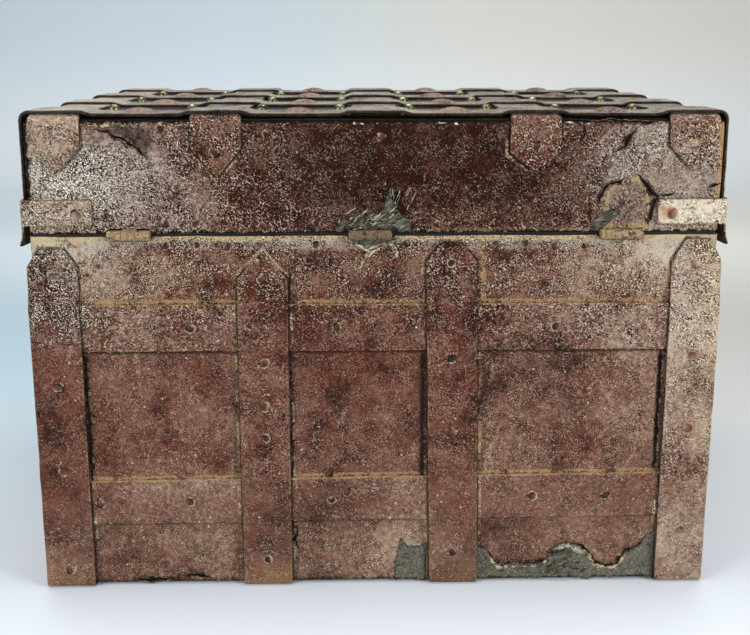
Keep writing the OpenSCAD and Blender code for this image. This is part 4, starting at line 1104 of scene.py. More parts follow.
def long_strap(k):
    """One long strap, from the foot of the right end, over the top, to the foot of the left end."""
    crown = LID_STRAP_TOP + STRAP
    wave = [(x, LID_STRAP_TOP + crossing_rise(x), 0)
            for x in np.linspace(WAVE_REACH, -WAVE_REACH, WAVE_POINTS)]
    path = bent_path([(LONG_X, lid_low[2], 0), (LONG_X, crown, LONG_BEND)] + wave
                     + [(-LONG_X, crown, LONG_BEND), (-LONG_X, lid_low[2], 0)])
    strap = plate(f"worn_long_strap_{k + 1}", path, (0, LONG_Y[k], 0), LYING,
                  lambda s, p: (-LID_HALF, LID_HALF), 90 + 4 * k, dent=0.35)
    place(strap, "lid", "lacquered_iron", f"long_strap_{k + 1}")


for strap_index in range(len(LONG_Y)):
    long_strap(strap_index)
print("long straps at", [round(y) for y in LONG_Y])

# %% [markdown]
# ## Rim band
# The rim band goes round the ends and the front of the lid and laps over the joint. On the back only
# two short tabs remain, and they are narrower. The lower corners of its ends flare outwards a
# little, where years of closing have bent them.

# %% Rim band
RIM_TAB_LOW = JOINT + 9.5
RIM_TAB = 71.0
BACK_CORNER, FRONT_CORNER = 5, 6
FLARE = 3.5
FLARE_RUN = 45
TAB_RUN = 2.6


def rim_band():
    """The band round the lid's ends and front, with its two tabs on the back."""
    x, back, front = rim_high[0], -(HIDE_Y + STRAP), rim_high[1]
    path = bent_path([(x - RIM_TAB, back, 0), (x, back, BACK_CORNER), (x, front, FRONT_CORNER),
                      (-x, front, FRONT_CORNER), (-x, back, BACK_CORNER), (-x + RIM_TAB, back, 0)])

    def sides(s, p):
        on_back = min(1.0, max(0.0, (-HIDE_Y - p[1]) / TAB_RUN))
        return (rim_low[2] + (RIM_TAB_LOW - rim_low[2]) * on_back, rim_high[2])

    band = plate("worn_rim_band", path, (0, 0, 0), ROUND, sides, 121, age=0.3)
    for vertex in band.data.vertices:
        x, y, z = (c / MM for c in vertex.co)
        low = max(0.0, JOINT - z) / (JOINT - rim_low[2])
        near = max(0.0, -y - HIDE_Y + FLARE_RUN) / FLARE_RUN
        vertex.co.x += math.copysign(FLARE * low * min(1.0, near) ** 2, x) * MM
    place(band, "lid", "lacquered_iron", "rim_band")


rim_band()
print("the rim band hangs", round(JOINT - rim_low[2], 1), "mm below the joint")

# %% [markdown]
# ## Leather skins
# A skin is a wall that runs round the boards. It is drawn as rings: up the sides, round the edge and,
# on the lid, on over the top to the middle line. Its face swells and dips by a few tenths of a
# millimetre, and its cut edge at the joint is slightly wavy. Then the wall gets its thickness.

# %% Free edge of a skin
WINDOWS = [(low[0] - 1, high[0] + 1)
           for low, high in (span(f"{w}_hinge_body_leaf") for w in ("left", "middle", "right"))]
KNUCKLE_RISE = 6.6
EDGE_GROWTH = 0.9
CUT_WAVER = 0.5
EDGE_ROWS = 3


def shape_edge(grid, away):
    """Lets the free edge waver, and dip at the hinges' knuckles. The next rows follow it a little."""
    edge = grid[0].copy()
    waver = CUT_WAVER * relief(edge, 30, 7, 3)
    for c in range(grid.shape[1]):
        x, y = edge[c][:2]
        dip = any(a <= x <= b for a, b in WINDOWS) and y < -HIDE_Y + 1
        target = JOINT + away * KNUCKLE_RISE if dip else edge[c][2] + waver[c]
        for r in range(EDGE_ROWS):
            grid[r][c][2] += (target - edge[c][2]) * (1 - r / EDGE_ROWS)
    return grid


# %% Rings of a skin
RING_SPACING = 5.0
HIDE_CORNER = 6.0
CORNER_STEPS = 5
LEAST_CORNER = 0.3
SWELL, SWELL_SIZE = 0.45, 70
DIP, DIP_SIZE = 0.3, 21
CORNERS = ((1, -1), (1, 1), (-1, 1), (-1, -1))


def plan_ring(inset):
    """Points round the plan of the leather, drawn in by inset. Their number is always the same."""
    half_x, half_y = HIDE_X - inset, HIDE_Y - inset
    r = max(HIDE_CORNER - inset, LEAST_CORNER)

    def on_corner(corner, angle):
        sx, sy = CORNERS[corner % 4]
        return (sx * (half_x - r) + r * math.cos(angle), sy * (half_y - r) + r * math.sin(angle))

    ring = []
    for turn in range(4):
        count = int(2 * (HIDE_Y if turn % 2 == 0 else HIDE_X) / RING_SPACING)
        ring += [on_corner(turn, math.pi / 2 * (turn - 1 + k / CORNER_STEPS))
                 for k in range(CORNER_STEPS + 1)]
        start, stop = np.array(ring[-1]), np.array(on_corner(turn + 1, math.pi / 2 * turn))
        ring += [tuple(start + (stop - start) * k / count) for k in range(1, count)]
    return np.array(ring)


def skin(rows, seed, away):
    """Points and faces of a wall of leather.

    rows holds (inset, height) from its free edge to its last ring. away is the way, up or down, in
    which the free edge makes room for the hinges' knuckles."""
    rings = [np.column_stack([flat, np.full(len(flat), float(z))])
             for flat, z in ((plan_ring(inset), z) for inset, z in rows)]
    grid = shape_edge(np.stack(rings), away)
    along = np.roll(grid, -1, 1) - np.roll(grid, 1, 1)
    up = np.gradient(grid, axis=0)
    out = np.cross(along, up)
    out /= np.maximum(np.linalg.norm(out, axis=2)[:, :, None], 1e-9)
    flat = grid.reshape(-1, 3)
    swell = SWELL * relief(flat, SWELL_SIZE, seed) + DIP * relief(flat, DIP_SIZE, seed + 3)
    points = flat + out.reshape(-1, 3) * swell[:, None]
    n = grid.shape[1]
    faces = [(r * n + c, r * n + (c + 1) % n, (r + 1) * n + (c + 1) % n, (r + 1) * n + c)
             for r in range(len(rows) - 1) for c in range(n)]
    return points, faces


# %% Thickness of a skin
def thicken(piece, merge=0.0):
    """Closes the middle line if merge is given, and gives the wall its thickness inwards."""
    face_outwards(piece.data, merge)
    wall = piece.modifiers.new("wall", "SOLIDIFY")
    wall.thickness = LEATHER * MM
    wall.offset = -1
    apply_modifiers(piece, CREASE_ANGLE)
    return piece


# %% Skin of the body
BODY_ROWS = 76
FOLDED_UNDER = (0.5, 4, 10, 16, 22)
body_rows = [(0.0, z) for z in np.linspace(hide_high[2] + EDGE_GROWTH, hide_low[2] + 0.5, BODY_ROWS)]
body_rows += [(inset, hide_low[2]) for inset in FOLDED_UNDER]
body_skin = thicken(build("worn_body_leather", *skin(body_rows, 201, -1), hide_finish))
place(body_skin, "chest", "lacquered_leather", "body_leather")

# %% Skin of the lid
SIDE_ROWS, BEND_ROWS, TOP_ROWS = 22, 7, 44
MIDDLE_GAP = 0.2
MERGE = 0.9
lid_side = [(0.0, z) for z in np.linspace(lid_low[2] - EDGE_GROWTH, lid_high[2] - LID_EDGE, SIDE_ROWS)]
lid_edge = [(LID_EDGE * (1 - math.cos(a)), lid_high[2] - LID_EDGE * (1 - math.sin(a)))
            for a in np.linspace(0, math.pi / 2, BEND_ROWS)[1:]]
lid_top = [(inset, lid_high[2]) for inset in np.linspace(LID_EDGE + 5, HIDE_Y - MIDDLE_GAP, TOP_ROWS)]
lid_wall = skin(lid_side + lid_edge + lid_top, 231, 1)
lid_skin = thicken(build("worn_lid_leather", *lid_wall, lid_finish), MERGE)
place(lid_skin, "lid", "lacquered_leather", "lid_leather")
print("skin faces:", len(body_skin.data.polygons), len(lid_skin.data.polygons))

# %% [markdown]
# ## Torn places, fillers and cracks
# The leather has split round the hinges, and old fillers and bare board show there. A filler is a closed,
# lumpy sheet between two lines of points on the back. A crack is a narrow ribbon along a line: black in
# the middle, which is painted shade of the split, with a raised pale lip on each side. Points are (x, z)
# in millimetres.

# %% Finishes of torn places
def torn(name, dark, light, rim_colour, fibre=(1.0, 1.0, 1.0), rim_wide=1.6):
    """Fibrous filler. The mesh stores the distance to its rim, which is pale and frayed."""
    f = Finish(name)
    fibres = f.noise(2.2, 4.0, 0.75, f.stretched(fibre, (0.0, -0.42, 0.0))).ramp(0.38, 0.62)
    lumps = f.noise(8, 3.0, 0.65)
    fuzz = f.noise(2.6, 3.0, 0.6) - 0.5
    rim = (f.tag("rim") + fuzz * 7).ramp(rim_wide + 1.2, rim_wide * 0.4)
    colour = f.blend(dark, light, fibres + (lumps - 0.5) * 1.6)
    colour = f.blend(colour, rim_colour, rim * (lumps + fuzz).ramp(0.36, 0.55))
    colour = f.blend(colour, SOOT_AND_SHADE, (lumps + fuzz * 0.8).ramp(0.4, 0.3) * 0.8)
    f.feed(Base_Color=colour, Roughness=0.6 + fuzz * 0.2, Specular_IOR_Level=0.2)
    f.bump(fibres * 0.6 + lumps * 0.4, 2.4)
    return f.material


filler_finish = torn("grey_filler", paint(38, 37, 29), paint(132, 129, 108), paint(118, 108, 86),
                     (0.22, 1.0, 1.5), 1.0)
bare_finish = torn("bare_ground", paint(90, 86, 74), paint(140, 136, 120), paint(52, 44, 36),
                   rim_wide=1.4)
ochre_finish = torn("ochre_ground", paint(92, 62, 52), paint(178, 156, 136), paint(196, 168, 118),
                    rim_wide=6.5)
under_finish = torn("under_layer", paint(62, 50, 44), paint(124, 96, 82), paint(140, 128, 112))


def crack_recipe(name, middle, lip):
    """A ribbon whose lips, tagged on the mesh, have another colour than its middle."""
    f = Finish(name)
    fuzz = f.noise(2.0, 3.0, 0.65) - 0.5
    share = (f.tag("lip") + fuzz * 1.2).ramp(0.35, 0.75) * (f.noise(8, 2.0).ramp(0.4, 0.54) * 0.85 + 0.15)
    colour = f.blend(middle, lip, share)
    f.feed(Base_Color=f.shade(colour, fuzz * 3.2 + 1), Roughness=0.8, Specular_IOR_Level=0.1)
    f.bump(fuzz, 0.6)
    return f.material


# The crack's black middle is painted shade of the open split.
crack_finish = crack_recipe("crack", SOOT_AND_SHADE, paint(112, 88, 70))
wisp_finish = crack_recipe("wisp", paint(84, 86, 74), paint(150, 146, 128))
fray_finish = crack_recipe("fray", paint(104, 92, 72), paint(180, 166, 138))
crumb_finish = crack_recipe("crumbs", paint(72, 62, 50), paint(168, 152, 120))


# %% Closed sheets
SHEET_DEPTH = 0.6


def closed_sheet(name, front, finish, tags):
    """Closes a grid of points with a flat back that lies a little inside the leather."""
    rows, columns = front.shape[:2]
    back = front.copy()
    back[:, :, 1] = -HIDE_Y + SHEET_DEPTH
    points = np.concatenate([front.reshape(-1, 3), back.reshape(-1, 3)])
    n = rows * columns
    faces = []
    for r in range(rows - 1):
        for c in range(columns - 1):
            a = r * columns + c
            faces.append((a, a + 1, a + columns + 1, a + columns))
            faces.append((n + a + columns, n + a + columns + 1, n + a + 1, n + a))
    border = (list(range(columns)) + [r * columns + columns - 1 for r in range(1, rows)]
              + [(rows - 1) * columns + c for c in range(columns - 2, -1, -1)]
              + [r * columns for r in range(rows - 2, 0, -1)])
    for a, b in zip(border, border[1:] + border[:1]):
        faces.append((b, a, n + a, n + b))
    doubled = {key: np.concatenate([values.ravel(), values.ravel()]) for key, values in tags.items()}
    return build(name, points, faces, finish, doubled)


# %% Fillers
FILLER_STEP = 1.4
TEAR_SIZE, LUMP_SIZE = 6, 7
LEAST_HEIGHT = 0.8
RIM_RISE = 3.0
LEAST_LIFT = 0.35


def filler(name, body, low, high, lift, seed, finish, tear, rows=13):
    """A lumpy sheet on the back between a low and a high line, each a list of (x, z).

    It stands lift millimetres proud, and its borders are torn by about tear millimetres."""
    low, high = np.array(low, float), np.array(high, float)
    x = np.arange(max(low[0, 0], high[0, 0]), min(low[-1, 0], high[-1, 0]), FILLER_STEP)
    lines = []
    for k, line in enumerate((low, high)):
        z = np.interp(x, line[:, 0], line[:, 1])
        at = np.column_stack([x, 0 * x, z])
        lines.append(z + tear * relief(at, TEAR_SIZE, seed + k, 3))
    lines[1] = np.maximum(lines[1], lines[0] + LEAST_HEIGHT)
    share = np.linspace(0, 1, rows)[:, None]
    z = lines[0] + (lines[1] - lines[0]) * share
    height = lines[1] - lines[0]
    rim = np.minimum(share, 1 - share) * height
    rim = np.minimum(rim, np.minimum(x - x[0], x[-1] - x)[None, :])
    grid = np.stack([x + 0 * z, 0 * z, z], axis=2)
    lumps = relief(grid.reshape(-1, 3), LUMP_SIZE, seed + 5, 3).reshape(z.shape)
    out = np.clip(rim / RIM_RISE, 0, 1) ** 0.6 * lift * (0.75 + 0.45 * lumps) + LEAST_LIFT
    grid[:, :, 1] = -HIDE_Y - out
    place(closed_sheet(name, grid, finish, {"rim": rim}), body, "lacquered_leather")


# %% Cracks
CRACK_STEP = 1.0
CRACK_WAVER = 1.2
LEAST_TAPER = 0.12
CRACK_BASE = 0.4
OFFSETS = [-0.8, -0.5, -0.32, 0.32, 0.5, 0.8]
CRACK_LIPS = [0.25, 1.0, 0.0, 0.0, 1.0, 0.25]
STRAND_LIPS = [0.0, 0.7, 1.0, 1.0, 0.7, 0.0]


def crack(name, body, line, width, seed, finish=crack_finish, lift=0.7, lips=CRACK_LIPS, ragged=0.5):
    """A ribbon along a line of (x, z): its width varies, and it tapers at both ends.

    lips says how high each of its offsets from the line stands, as a share of lift."""
    line = np.array(line, float)
    length = np.concatenate([[0], np.cumsum(np.hypot(*np.diff(line, axis=0).T))])
    s = np.arange(0, length[-1], CRACK_STEP)
    path = np.column_stack([np.interp(s, length, line[:, 0]), 0 * s, np.interp(s, length, line[:, 1])])
    path[:, 0] += CRACK_WAVER * relief(path, TEAR_SIZE, seed, 3)
    path[:, 2] += CRACK_WAVER * relief(path, TEAR_SIZE, seed + 2, 3)
    ahead = np.gradient(path, axis=0)
    ahead /= np.linalg.norm(ahead, axis=1)[:, None]
    side = np.column_stack([-ahead[:, 2], 0 * s, ahead[:, 0]])
    taper = np.clip(np.minimum(s, s[-1] - s) / (3 * width), LEAST_TAPER, 1)
    wide = width * taper * np.clip(1 + ragged * relief(path, 4, seed + 4), 0.15, 2)
    grid, tags = [], []
    for offset, lip in zip(OFFSETS, lips):
        row = path + side * (wide * offset)[:, None]
        row[:, 1] = -HIDE_Y - CRACK_BASE - lift * lip * taper
        grid.append(row)
        tags.append(np.full(len(s), lip))
    piece = closed_sheet(name, np.stack(grid), finish, {"lip": np.stack(tags)})
    place(piece, body, "lacquered_leather")


def strand(name, body, line, width, seed, finish, lift=0.7, ragged=1.4):
    """A raised thread, or a row of crumbs, along a line."""
    crack(name, body, line, width, seed, finish, lift, STRAND_LIPS, ragged)


def several(make, family, body, rows, **look):
    """Numbered cracks or strands of one look. Each row holds a line, a width and a seed."""
    for k, (line, width, seed) in enumerate(rows):
        make(f"{family}_{k + 1}", body, line, width, seed, **look)


# %% Centre hinge
filler("centre_filler", "lid", [(-41, 386), (-20, 386.5), (10, 386.5), (35, 386)],
       [(-41, 391), (-33, 398), (-20, 403), (-8, 401), (3, 403), (8, 409), (11, 418), (13, 421), (15, 420),
        (19, 410), (27, 400), (35, 391)], 4.5, 301, filler_finish, 3.2)
filler("centre_ground", "chest", [(-24, 371), (-12, 366), (-6, 363), (4, 368), (14, 372.5), (22, 371)],
       [(-24, 378), (0, 378.5), (22, 378)], 0.8, 311, filler_finish, 1.0)
several(strand, "centre_fray", "chest", [
    ([(-16, 345), (-14, 353), (-6, 361), (4, 368), (14, 374), (20, 367), (23, 354)], 2.2, 321),
    ([(-24, 372), (-14, 369), (-6, 363), (0, 364)], 1.8, 326),
    ([(-12, 356), (-7, 366), (2, 371), (10, 373), (17, 369), (19, 361)], 1.6, 328),
], finish=fray_finish, ragged=0.9)
crack("centre_crack_1", "lid", [(-9, 428), (-14, 421), (-19, 414)], 2.6, 331)
crack("centre_crack_2", "lid", [(20, 430), (27, 419), (33, 405)], 7.5, 334)
crack("centre_crack_3", "lid", [(35, 431), (30, 422), (24, 414)], 1.2, 337, fray_finish)


# %% Loose threads at the centre hinge
def chances(k, count, seed):
    """Some random numbers from -1 to 1 for the thread k, the same at every run."""
    return [lattice(np.array([[k * 9.1, j * 17.3, 5.0]]), 4, seed)[0] for j in range(count)]


def straight(start, step):
    """Four points on a straight line."""
    return start + np.array(step) * np.linspace(0, 1, 4)[:, None]


STRANDS, WISPS = 26, 9
MIDDLE_OF_TUFT = np.array([-4, 396])
for k in range(STRANDS):
    across, up, swing, reach = chances(k, 4, 340)
    start = MIDDLE_OF_TUFT + np.array([40 * across, 12 * up])
    angle = 0.42 + 0.8 * swing
    step = (10 + 6 * reach) * np.array([math.cos(angle), math.sin(angle)])
    strand(f"strand_{k}", "lid", straight(start, step), 0.8, 500 + 3 * k,
           fray_finish if k % 2 else wisp_finish, 6.0, 0.8)

for k in range(WISPS):
    reach, swing = chances(k, 2, 350)
    start = np.array([8 + 1.5 * k, 410 + 2 * swing])
    step = (2 + 9 * swing, 17 + 11 * reach - 1.2 * abs(k - 4))
    strand(f"wisp_{k}", "lid", straight(start, step), 0.9, 600 + 3 * k, wisp_finish, 2.6, 1.1)
strand("wisp_left", "lid", [(-38, 392), (-34, 400), (-26, 406), (-18, 409)], 0.9, 651, crumb_finish, 1.6)
strand("wisp_right", "lid", [(30, 404), (36, 415), (40, 424)], 0.7, 655, crumb_finish, ragged=1.2)

# %% Left side of the lid
filler("left_under_layer", "lid", [(-262, 483), (-248, 479), (-236, 470), (-226, 464), (-219, 470)],
       [(-262, 487), (-246, 491), (-232, 490), (-219, 487)], 0.6, 341, under_finish, 1.0)
crack("left_crack_1", "lid", [(-272, 486), (-262, 485), (-255, 481), (-243, 476), (-236, 470), (-229, 462),
                              (-224, 458)], 6.2, 345, ragged=0.7)
strand("left_crack_2", "lid", [(-283, 488), (-266, 490), (-250, 491.5), (-240, 490)], 2.8, 349,
       crumb_finish)
crack("left_crack_3", "lid", [(-271, 406), (-268, 400), (-272, 395)], 2.4, 352)

# %% Right side of the lid
filler("right_ground", "lid", [(228, 386.5), (250, 386.5), (275, 386.5)],
       [(228, 409), (231, 424), (238, 433), (250, 437), (261, 439), (268, 430), (275, 412)], 0.5, 361,
       ochre_finish, 1.2)
filler("right_filler", "lid", [(216, 386), (228, 388), (241, 398), (246, 402)],
       [(216, 391), (222, 401), (230, 405), (240, 408), (246, 404)], 2.4, 366, filler_finish, 1.0)
several(crack, "right_crack", "lid", [
    ([(222, 410), (225, 421), (231, 431), (240, 434), (249, 438)], 3.0, 371),
    ([(260, 442), (267, 434), (273, 425), (281, 419), (277, 408), (274, 396), (267, 386)], 3.6, 375),
    ([(205, 493), (206, 484), (202, 472)], 2.2, 379),
    ([(208, 494), (232, 495), (262, 493), (278, 494)], 2.2, 383),
    ([(258, 487), (250, 479), (246, 470), (236, 462)], 4.6, 387),
    ([(330, 428), (340, 430), (345, 433)], 2.2, 390),
    ([(283, 421), (292, 421), (300, 423)], 1.6, 393),
])

# %% Bare ground at the bottom
filler("bare_right", "chest", [(106, 4), (150, 4), (200, 4), (250, 4), (300, 4)],
       [(106, 44), (114, 40), (122, 31), (129, 20), (149, 22), (170, 20), (185, 25), (191, 37), (200, 43),
        (214, 42), (226, 36), (233, 22), (246, 17), (259, 18), (268, 33), (283, 42), (291, 54), (300, 60)],
       0.6, 401, bare_finish, 2.6, rows=26)
filler("bare_right_lump", "chest", [(182, 8), (196, 6), (212, 8)],
       [(182, 24), (190, 38), (200, 43), (212, 38)], 3.0, 407, filler_finish, 1.2)
filler("bare_middle", "chest", [(20, 4), (36, 4), (54, 4)],
       [(20, 22), (26, 50), (34, 42), (42, 40), (54, 46)], 0.9, 411, bare_finish, 3.2, rows=18)
BARE_RIM = [(106, 43), (114, 40), (122, 31), (130, 20), (150, 21), (170, 20), (184, 26), (191, 38),
            (201, 43), (214, 42), (227, 35), (234, 22), (247, 17), (259, 19), (268, 33), (283, 42),
            (291, 54)]
crack("bare_rim", "chest", BARE_RIM, 2.6, 431, ragged=0.9)
strand("bare_crumbs", "chest", [(x, z - 3.5) for x, z in BARE_RIM[2:15]], 1.7, 437, crumb_finish, 1.0, 2.0)
strand("bare_fold", "chest", [(186, 30), (192, 37), (201, 40), (212, 38), (222, 33), (229, 30)], 3.2, 441,
       wisp_finish, 2.4, 1.2)
crack("hole_bottom", "chest", [(-86, 66), (-84, 58), (-86, 50), (-82, 40)], 8.0, 417, lift=0.2)
several(crack, "rim_gap", "chest", [([(-262, 7), (-240, 6), (-215, 7)], 3.6, 421),
                                    ([(-205, 8), (-194, 12), (-176, 7)], 4.2, 425)], lift=0.2)

# %% [markdown]
# ## Nails and tacks
# Nail heads, tacks and studs repeat, so Geometry Nodes set them. One head is turned as a profile: a dome
# on a thin collar, which on nails and tacks carries dirt and painted shadow. Its places are read from the
# model: each loose dome of a nail node gives a foot and a direction. The node tree puts a head on each
# foot, turns it outwards, tilts and scales it a little at random, and stores a random tone for the finish.

# %% One nail head
HEAD_SIDES = 14
COLLAR = 0.16


def head_mesh(name):
    """A nail head of diameter 1 and height 1, on a collar that is a little wider."""
    outline = [(0.5 + COLLAR, 0.0, 1.0), (0.5 + COLLAR * 0.7, 0.05, 1.0), (0.5, 0.07, 0.7),
               (0.475, 0.38, 0.0), (0.37, 0.74, 0.0), (0.2, 0.95, 0.0)]
    turn = [2 * math.pi * k / HEAD_SIDES for k in range(HEAD_SIDES)]
    points = [(r * math.cos(a), r * math.sin(a), z) for r, z, _ in outline for a in turn] + [(0, 0, 1)]
    collar = [share for _, _, share in outline for _ in turn] + [0]
    around = [(k, (k + 1) % HEAD_SIDES) for k in range(HEAD_SIDES)]
    crown = len(points) - 1
    top_ring = crown - HEAD_SIDES
    faces = [range(HEAD_SIDES)]
    for r in range(0, top_ring, HEAD_SIDES):
        faces += [(r + a, r + b, r + HEAD_SIDES + b, r + HEAD_SIDES + a) for a, b in around]
    faces += [(top_ring + a, top_ring + b, crown) for a, b in around]
    # Each point is tagged by how far across the head it lies, for a painted highlight on one side and
    # painted shade on the other.
    tags = {"collar": collar, "facing": [2 * x for x, _, _ in points]}
    return build(name, np.array(points) / MM, faces, strap_finish, tags)


nail_head = head_mesh("nail_head")
print("head faces:", len(nail_head.data.polygons))


# %% Places of the heads
def loose_parts(mesh):
    """The points of each loose part of a mesh, in millimetres."""
    made = bmesh.new()
    made.from_mesh(mesh)
    bmesh.ops.remove_doubles(made, verts=made.verts, dist=1e-6)
    left = set(made.verts)
    parts = []
    while left:
        grown, open_ends = [], [left.pop()]
        while open_ends:
            vertex = open_ends.pop()
            grown.append(vertex)
            near = {edge.other_vert(vertex) for edge in vertex.link_edges} & left
            left -= near
            open_ends += near
        parts.append(np.array([v.co for v in grown]) / MM)
    made.free()
    return parts


def foot_of(points):
    """Foot and outward direction of a dome, which is flattest along the way it faces."""
    low, high = points.min(0), points.max(0)
    axis = int(np.argmin(high - low))
    foot = (low + high) / 2
    outwards = foot[axis] > (JOINT if axis == 2 else 0)
    foot[axis] = low[axis] if outwards else high[axis]
    direction = np.zeros(3)
    direction[axis] = 1.0 if outwards else -1.0
    return foot, direction


def feet(node):
    """Foot and direction of each dome in a node of the model, always in the same order."""
    found = [foot_of(points) for points in loose_parts(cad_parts[node].data)]
    return sorted(found, key=lambda each: [round(float(c), 1) for c in each[0]])


# %% Node tree that sets the heads
def socket_name(tree, label):
    """The identifier of a tree's input, by which a modifier knows it."""
    return next(i.identifier for i in tree.interface.items_tree if i.name == label)


def head_tree():
    """Geometry Nodes: a head on every point, with random tilt, size and tone."""
    tree = bpy.data.node_groups.new("set_heads", "GeometryNodeTree")
    face = tree.interface
    face.new_socket("Geometry", in_out="OUTPUT", socket_type="NodeSocketGeometry")
    face.new_socket("Geometry", in_out="INPUT", socket_type="NodeSocketGeometry")
    for label, kind in (("Head", "NodeSocketObject"), ("Diameter", "NodeSocketFloat"),
                        ("Height", "NodeSocketFloat"), ("Spread", "NodeSocketFloat"),
                        ("Tilt", "NodeSocketFloat"), ("Seed", "NodeSocketInt"),
                        ("Finish", "NodeSocketMaterial")):
        face.new_socket(label, in_out="INPUT", socket_type=kind)

    def add(kind, values=None, **settings):
        """A node: first its settings, then its inputs, which are values, sockets or other nodes."""
        made = tree.nodes.new(kind)
        for key, value in settings.items():
            setattr(made, key, value)
        for key, value in (values or {}).items():
            value = value.outputs[0] if isinstance(value, bpy.types.Node) else value
            if isinstance(value, bpy.types.NodeSocket):
                tree.links.new(value, made.inputs[key])
            else:
                made.inputs[key].default_value = value
        return made

    given = add("NodeGroupInput").outputs
    seed = given["Seed"]
    out = add("GeometryNodeInputNamedAttribute", {"Name": "out"}, data_type="FLOAT_VECTOR")
    turned = add("FunctionNodeAlignRotationToVector", {"Vector": out}, axis="Z")
    spin = add("FunctionNodeRandomValue", {0: (-1, -1, -3), 1: (1, 1, 3), "Seed": seed},
               data_type="FLOAT_VECTOR")
    tilt = add("ShaderNodeCombineXYZ", {0: given["Tilt"], 1: given["Tilt"], 2: 1.0})
    lean = add("ShaderNodeVectorMath", {0: spin, 1: tilt}, operation="MULTIPLY")
    euler = add("FunctionNodeEulerToRotation", {0: lean})
    swung = add("FunctionNodeRotateRotation", {0: turned, 1: euler}, rotation_space="LOCAL")
    low = add("ShaderNodeMath", {0: 1.0, 1: given["Spread"]}, operation="SUBTRACT")
    high = add("ShaderNodeMath", {0: 1.0, 1: given["Spread"]}, operation="ADD")
    size = add("FunctionNodeRandomValue", {2: low, 3: high, "Seed": seed}, data_type="FLOAT").outputs[1]
    across = add("ShaderNodeMath", {0: size, 1: given["Diameter"]}, operation="MULTIPLY")
    tall = add("ShaderNodeMath", {0: size, 1: given["Height"]}, operation="MULTIPLY")
    scale = add("ShaderNodeCombineXYZ", {0: across, 1: across, 2: tall})
    head = add("GeometryNodeObjectInfo", {"Object": given["Head"]}).outputs["Geometry"]
    placed = add("GeometryNodeInstanceOnPoints", {
        "Points": given["Geometry"], "Instance": head, "Rotation": swung, "Scale": scale})
    tone = add("FunctionNodeRandomValue", {"Seed": seed}, data_type="FLOAT").outputs[1]
    toned = add("GeometryNodeStoreNamedAttribute", {"Geometry": placed, "Name": "tone", "Value": tone},
                data_type="FLOAT", domain="INSTANCE")
    real = add("GeometryNodeRealizeInstances", {"Geometry": toned})
    clad = add("GeometryNodeSetMaterial", {"Geometry": real, "Material": given["Finish"]})
    add("NodeGroupOutput", {0: clad})
    return tree


set_heads = head_tree()
print("nodes that set the heads:", len(set_heads.nodes))


# %% Finish of the nails
def nail_recipe(name, bright, rust, dirt):
    """Lacquered heads of many tones, with a painted highlight and painted shade across each head, collars
    of dirt and painted shadow, and paler towards the right.
    """
    f = Finish(name)
    tone = f.tag("tone")
    collar = f.tag("collar")
    scale = f.noise(2.2, 3.0, 0.6)
    side = f.noise(7.0, 2.0, 0.5)
    facing = f.tag("facing")
    x, _, z = f.axes(unit=1)
    east = x.ramp(0.24, 0.27) * 0.4
    rusted = (tone + (scale - 0.5) * 0.7 + east * 0.3).ramp(0.86, 1.1)
    bright = f.blend(bright, paint(158, 132, 112), east * 2)
    bright = f.blend(bright, paint(178, 164, 148), x.size().ramp(0.26, 0.29) * z.ramp(0.32, 0.36))
    dirt = f.blend(dirt, RUST, east * 1.6)
    dark = f.blend(paint(52, 34, 27), bright, (east * 1.2).most(x.size().ramp(0.26, 0.29) * 0.5))
    colour = f.blend(dark, bright, (scale * 1.2 + tone * 0.6 - 0.4).ramp(0.3, 0.7))
    colour = f.blend(colour, rust, rusted * 0.7)
    # The collar is painted shadow, broken by pale dirt.
    ring = f.blend(SOOT_AND_SHADE, dirt, (side + (scale - 0.5) * 0.4 + east * 0.3).ramp(0.43, 0.53))
    colour = f.blend(colour, ring, (collar + (scale - 0.5) * 0.3).ramp(0.25, 0.6))
    # Painted highlight: a pale crescent on the head's lit side.
    painted_highlight = (facing + (scale - 0.5) * 0.9).ramp(0.4, 0.8) * (1 - collar)
    colour = f.blend(colour, paint(168, 142, 118), painted_highlight * 0.6)
    # Painted shade across the head, darker away from its lit side.
    colour = f.shade(colour, (0.6 + facing * 0.45 + (scale - 0.5) * 1.2).most(collar * 0.9))
    f.feed(Base_Color=colour, Roughness=0.34 + rusted * 0.3, Specular_IOR_Level=0.25,
           Specular_Tint=(1.0, 0.75, 0.6, 1.0))
    f.bump(scale, 0.5)
    return f.material


nail_finish = nail_recipe("nail_heads", paint(104, 68, 54), paint(124, 70, 42), paint(172, 152, 126))
tack_finish = nail_recipe("tack_heads", paint(92, 62, 50), paint(108, 64, 42), paint(160, 140, 116))


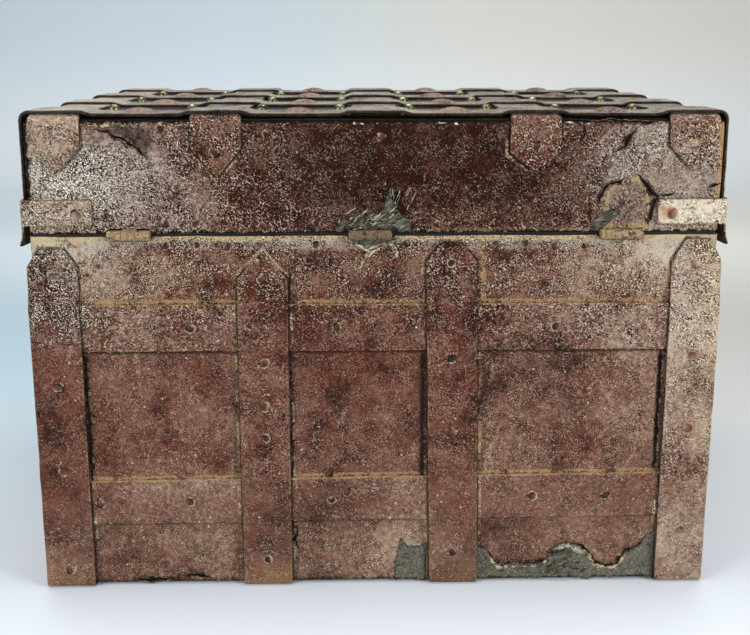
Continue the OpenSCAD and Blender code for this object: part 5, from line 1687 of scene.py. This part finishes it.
# %% Set the nails
HEAD_CREASE = math.radians(60)
TILT = 0.08
BANDS_APART = 150
NAIL, TACK, STUD = (8.6, 2.2), (6.8, 1.5), (12.0, 6.5)


def set_row(name, places, size, finish, body, node, seed, spread=0.14, slot="nail_heads"):
    """Puts a head of a given width and height on each place, as one plain mesh."""
    mesh = bpy.data.meshes.new(name)
    mesh.from_pydata([tuple(foot * MM) for foot, _ in places], [], [])
    layer = mesh.attributes.new("out", "FLOAT_VECTOR", "POINT")
    layer.data.foreach_set("vector", np.concatenate([d for _, d in places]))
    points = linked(name, mesh)
    grow = points.modifiers.new("heads", "NODES")
    grow.node_group = set_heads
    values = {"Head": nail_head, "Diameter": size[0] * MM, "Height": size[1] * MM, "Spread": spread,
              "Tilt": TILT, "Seed": seed, "Finish": finish}
    for label, value in values.items():
        grow[socket_name(set_heads, label)] = value
    apply_modifiers(points, HEAD_CREASE)
    place(points, body, slot, node)


def leaned(places):
    """Nails on the back of the leaning strap move with it."""
    for foot, out in places:
        if out[1] < 0 and abs(foot[0] - STRAP_X[LEANING]) < STRAP_HALF:
            foot[0] += lean_shift(LEANING, foot[2])
    return places


def climbed(places):
    """Nails of the lower band climb with it."""
    for foot, _ in places:
        if foot[2] < BANDS_APART:
            foot[2] += band_rise(foot[0], foot[1])
    return places


set_row("worn_strap_nails", leaned(feet("body_strap_nails")), NAIL, nail_finish, "chest",
        "body_strap_nails", 3)
set_row("worn_band_nails", climbed(feet("band_nails")), NAIL, nail_finish, "chest", "band_nails", 5)
set_row("worn_lid_nails", feet("lid_nails"), NAIL, nail_finish, "lid", "lid_nails", 8)
set_row("worn_body_tacks", feet("body_tacks"), TACK, tack_finish, "chest", "body_tacks", 12)
set_row("worn_lid_tacks", feet("lid_tacks"), TACK, tack_finish, "lid", "lid_tacks", 17)
set_row("worn_brass_studs", feet("brass_studs"), STUD, brass_finish, "lid", "brass_studs", 23,
        spread=0.06, slot="brass_studs")
bpy.data.objects.remove(nail_head)
